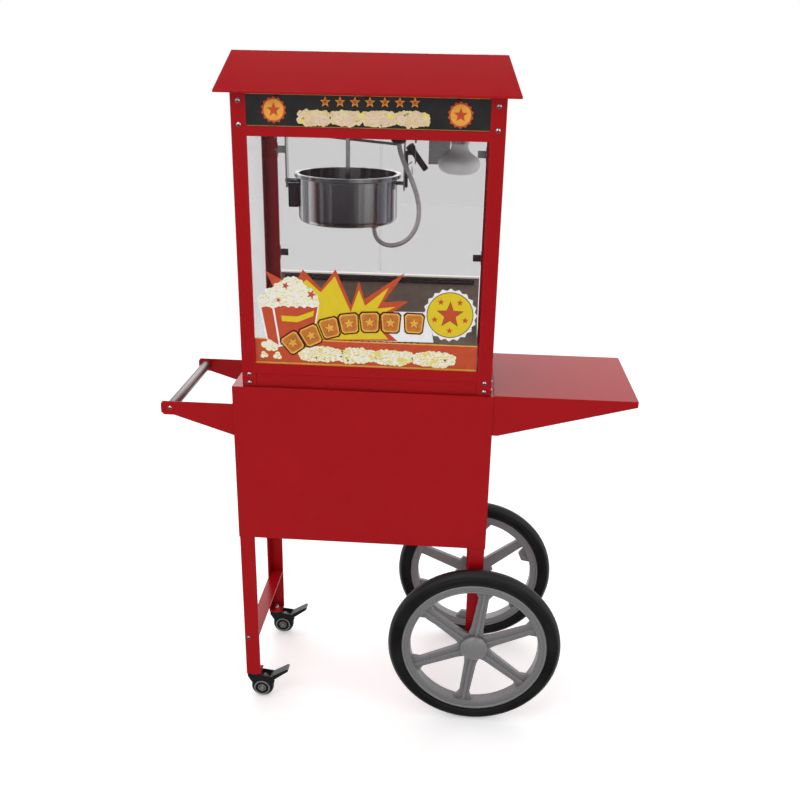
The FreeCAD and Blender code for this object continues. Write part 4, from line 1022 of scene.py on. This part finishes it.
class POPCORN_OT_front_print(Printer, bpy.types.Operator):
    """Invented party art on the front pane: band, burst, tub, badge and pennants"""
    bl_idname = "popcorn.front_print"
    bl_label = "Front print"

    def build(self, scene):
        self.start(scene, "front_glass", 7)
        self.band()
        self.burst()
        self.tub()
        self.badge()
        self.pennants()

    def shape(self, bm, points, depth, index):
        """A shape given on the design grid."""
        self.layer(bm, [on_pane(*p) for p in points], depth, index)

    def band(self):
        """Orange-red band between two gold lines, with four heaps and loose kernels."""
        bm = bmesh.new()
        (x0, x1), *heights = BAND
        for (low, high), index in zip(heights, (0, 1, 1)):
            self.layer(bm, [(x0, low), (x1, low), (x1, high), (x0, high)], 0, index)
        self.publish("print_band", bm, ["ink_orange", "ink_gold"])
        bm = bmesh.new()
        for place in BAND_PILES:
            self.pile(bm, *on_pane(*place), 36, 14, 7.5, 1)
        for cx, cz, size in LOOSE_CORN:
            self.corn(bm, *on_pane(cx, cz), size, 6)
        self.publish("print_band_corn", bm, ["ink_butter", "ink_cream", "ink_yellow"])

    def burst(self):
        """Yellow splash with an orange rim that rises behind the tub, and a white streak."""
        bm = bmesh.new()
        self.shape(bm, STREAK, 0, 2)
        self.shape(bm, BURST_RIM, 1, 0)
        self.shape(bm, BURST, 2, 1)
        self.publish("print_burst", bm, ["ink_orange", "ink_yellow", "ink_white"])

    def tub(self):
        """Orange-red tub with pale seams and a heap on top."""
        bm = bmesh.new()
        for points, depth, index in ((TUB, 3, 1), (TUB_SIDE, 4, 0), (TUB_FRONT, 4, 0), (TUB_RIBBON, 5, 2)):
            self.shape(bm, points, depth, index)
        self.publish("print_tub", bm, ["ink_orange", "ink_white", "ink_yellow"])
        bm = bmesh.new()
        self.shape(bm, MOUND, 5, 2)
        for k, (cx, cz, half) in enumerate(HEAP_ROWS):
            count = max(2, int(half / 24))
            for step in range(-count, count + 1):
                x, z = on_pane(cx + half * step / count, cz + 8 * abs(step) / count)
                self.corn(bm, x + self.random.uniform(-2, 2), z + self.random.uniform(-2, 2),
                          self.random.uniform(7, 9), 6 + 3 * (k % 3))
        self.publish("print_tub_heap", bm, ["ink_white", "ink_cream", "ink_butter"])
        bm = bmesh.new()
        for cx, cz, size in HEAP_STARS:
            self.layer(bm, star_outline(*on_pane(cx, cz), size, size * 0.42, 5, 1.2), 18, 0)
        self.publish("print_heap_stars", bm, ["ink_orange"])

    def badge(self):
        """Scalloped rosette with stars at the right."""
        bm = bmesh.new()
        cx, cz = on_pane(1280, 448)
        for outline, depth, index in (
                (star_outline(cx, cz, 56, 51, 20), 3, 0), (round_outline(cx, cz, 48, 48, 48), 4, 3),
                (round_outline(cx, cz, 46.5, 46.5, 48), 5, 1), (star_outline(cx, cz, 29, 12, 5), 6, 3),
                (star_outline(cx, cz, 27, 11, 5), 7, 2)):
            self.layer(bm, outline, depth, index)
        for k in range(5):
            a = math.pi / 2 + TURN * (k + 0.5) / 5
            self.layer(bm, star_outline(cx + 33 * math.cos(a), cz + 33 * math.sin(a), 7.5, 3.1, 5), 6, 2)
        self.publish("print_badge", bm, ["ink_white", "ink_yellow", "ink_orange", "ink_brown"])

    def pennants(self):
        """Seven tilted tiles with stars that climb to the right."""
        bm = bmesh.new()
        for cx, cz, turn in PENNANTS:
            x, z = on_pane(cx, cz)
            lean = math.radians(turn)
            for grow, depth, index in ((1.17, 20, 0), (1.03, 21, 1), (0.87, 22, 2)):
                self.layer(bm, self.tile(x, z, 19 * grow, 19.5 * grow, lean), depth, index)
            self.layer(bm, star_outline(x, z, 14, 6, 5, math.pi / 2 + lean), 23, 0)
            self.layer(bm, star_outline(x, z, 12.3, 5.2, 5, math.pi / 2 + lean), 24, 1)
        self.publish("print_pennants", bm, ["ink_brown", "ink_gold", "ink_amber"])

    def tile(self, cx, cz, half_w, half_h, lean):
        """A tilted tile, a little narrower at its foot."""
        ca, sa = math.cos(lean), math.sin(lean)
        return [(cx + half_w * u * ca - half_h * v * sa, cz + half_w * u * sa + half_h * v * ca) for u, v in TILE]


class POPCORN_OT_header_print(Printer, bpy.types.Operator):
    """Invented party art on the header: border lines, four heaps, a row of gold stars and two rosettes"""
    bl_idname = "popcorn.header_print"
    bl_label = "Header print"

    def build(self, scene):
        self.start(scene, "header_fascia", 11)
        lo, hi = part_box("header_fascia")
        x0, x1, z0, z1 = lo.x / MM + 1, hi.x / MM - 1, lo.z / MM, hi.z / MM
        bm = bmesh.new()
        for low in (z0 + 1.2, z1 - 2.6):
            self.layer(bm, [(x0, low), (x1, low), (x1, low + 1.2), (x0, low + 1.2)], 0, 0)
        self.publish("header_borders", bm, ["ink_amber"], "fascia")
        bm = bmesh.new()
        for k in range(7):
            x, z = on_header(565 + 80 * k, 108)
            for outer, inner, layer in ((13, 5.6, 0), (10.6, 4.4, 1), (6.2, 2.6, 2)):
                self.layer(bm, star_outline(x, z + 2, outer, inner, 5), layer + 1, layer)
        self.publish("header_stars", bm, ["ink_brown", "ink_gold", "ink_orange"], "fascia")
        bm = bmesh.new()
        for cx in (505, 680, 855, 1035):
            self.pile(bm, *on_header(cx, 192), 28, 13, 6.2, 4)
        self.publish("header_corn", bm, ["ink_butter", "ink_blush", "ink_yellow"], "fascia")
        bm = bmesh.new()
        for cx, cz in ((285, 150), (1290, 168)):
            x, z = on_header(cx, cz)
            for outline, depth, index in (
                    (star_outline(x, z, 25, 21.5, 14), 1, 1), (round_outline(x, z, 19.5, 19.5, 32), 2, 0),
                    (star_outline(x, z, 14, 6, 5), 3, 1)):
                self.layer(bm, outline, depth, index)
        self.publish("header_rosettes", bm, ["ink_gold", "ink_orange"], "fascia")


# ---- panel and start -------------------------------------------------------
STEPS = (POPCORN_OT_studio, POPCORN_OT_conduit, POPCORN_OT_frame_finish, POPCORN_OT_wheels, POPCORN_OT_casters,
         POPCORN_OT_screws, POPCORN_OT_cart_trim, POPCORN_OT_posts, POPCORN_OT_door_trim, POPCORN_OT_kettle,
         POPCORN_OT_lamp, POPCORN_OT_ceiling, POPCORN_OT_front_print, POPCORN_OT_header_print)


class POPCORN_PT_panel(bpy.types.Panel):
    """Sizes, finishes and build steps"""
    bl_label = "Popcorn cart"
    bl_space_type = "VIEW_3D"
    bl_region_type = "UI"
    bl_category = "Popcorn"

    def draw(self, context):
        scene = context.scene
        for group in (scene.popcorn_finish, scene.popcorn_sizes, scene.popcorn_studio):
            box = self.layout.box()
            for key in group.__annotations__:
                box.prop(group, key)
        for step in STEPS:
            self.layout.operator(step.bl_idname)


CLASSES = (PopcornFinish, PopcornSizes, PopcornStudio, *STEPS, POPCORN_PT_panel)


def register():
    for cls in CLASSES:
        bpy.utils.register_class(cls)
    bpy.types.Scene.popcorn_finish = bpy.props.PointerProperty(type=PopcornFinish)
    bpy.types.Scene.popcorn_sizes = bpy.props.PointerProperty(type=PopcornSizes)
    bpy.types.Scene.popcorn_studio = bpy.props.PointerProperty(type=PopcornStudio)


def unregister():
    for key in ("popcorn_finish", "popcorn_sizes", "popcorn_studio"):
        delattr(bpy.types.Scene, key)
    for cls in reversed(CLASSES):
        bpy.utils.unregister_class(cls)


def main():
    register()
    for step in STEPS:
        group, name = step.bl_idname.split(".")
        getattr(getattr(bpy.ops, group), name)()


if __name__ == "__main__":
    main()
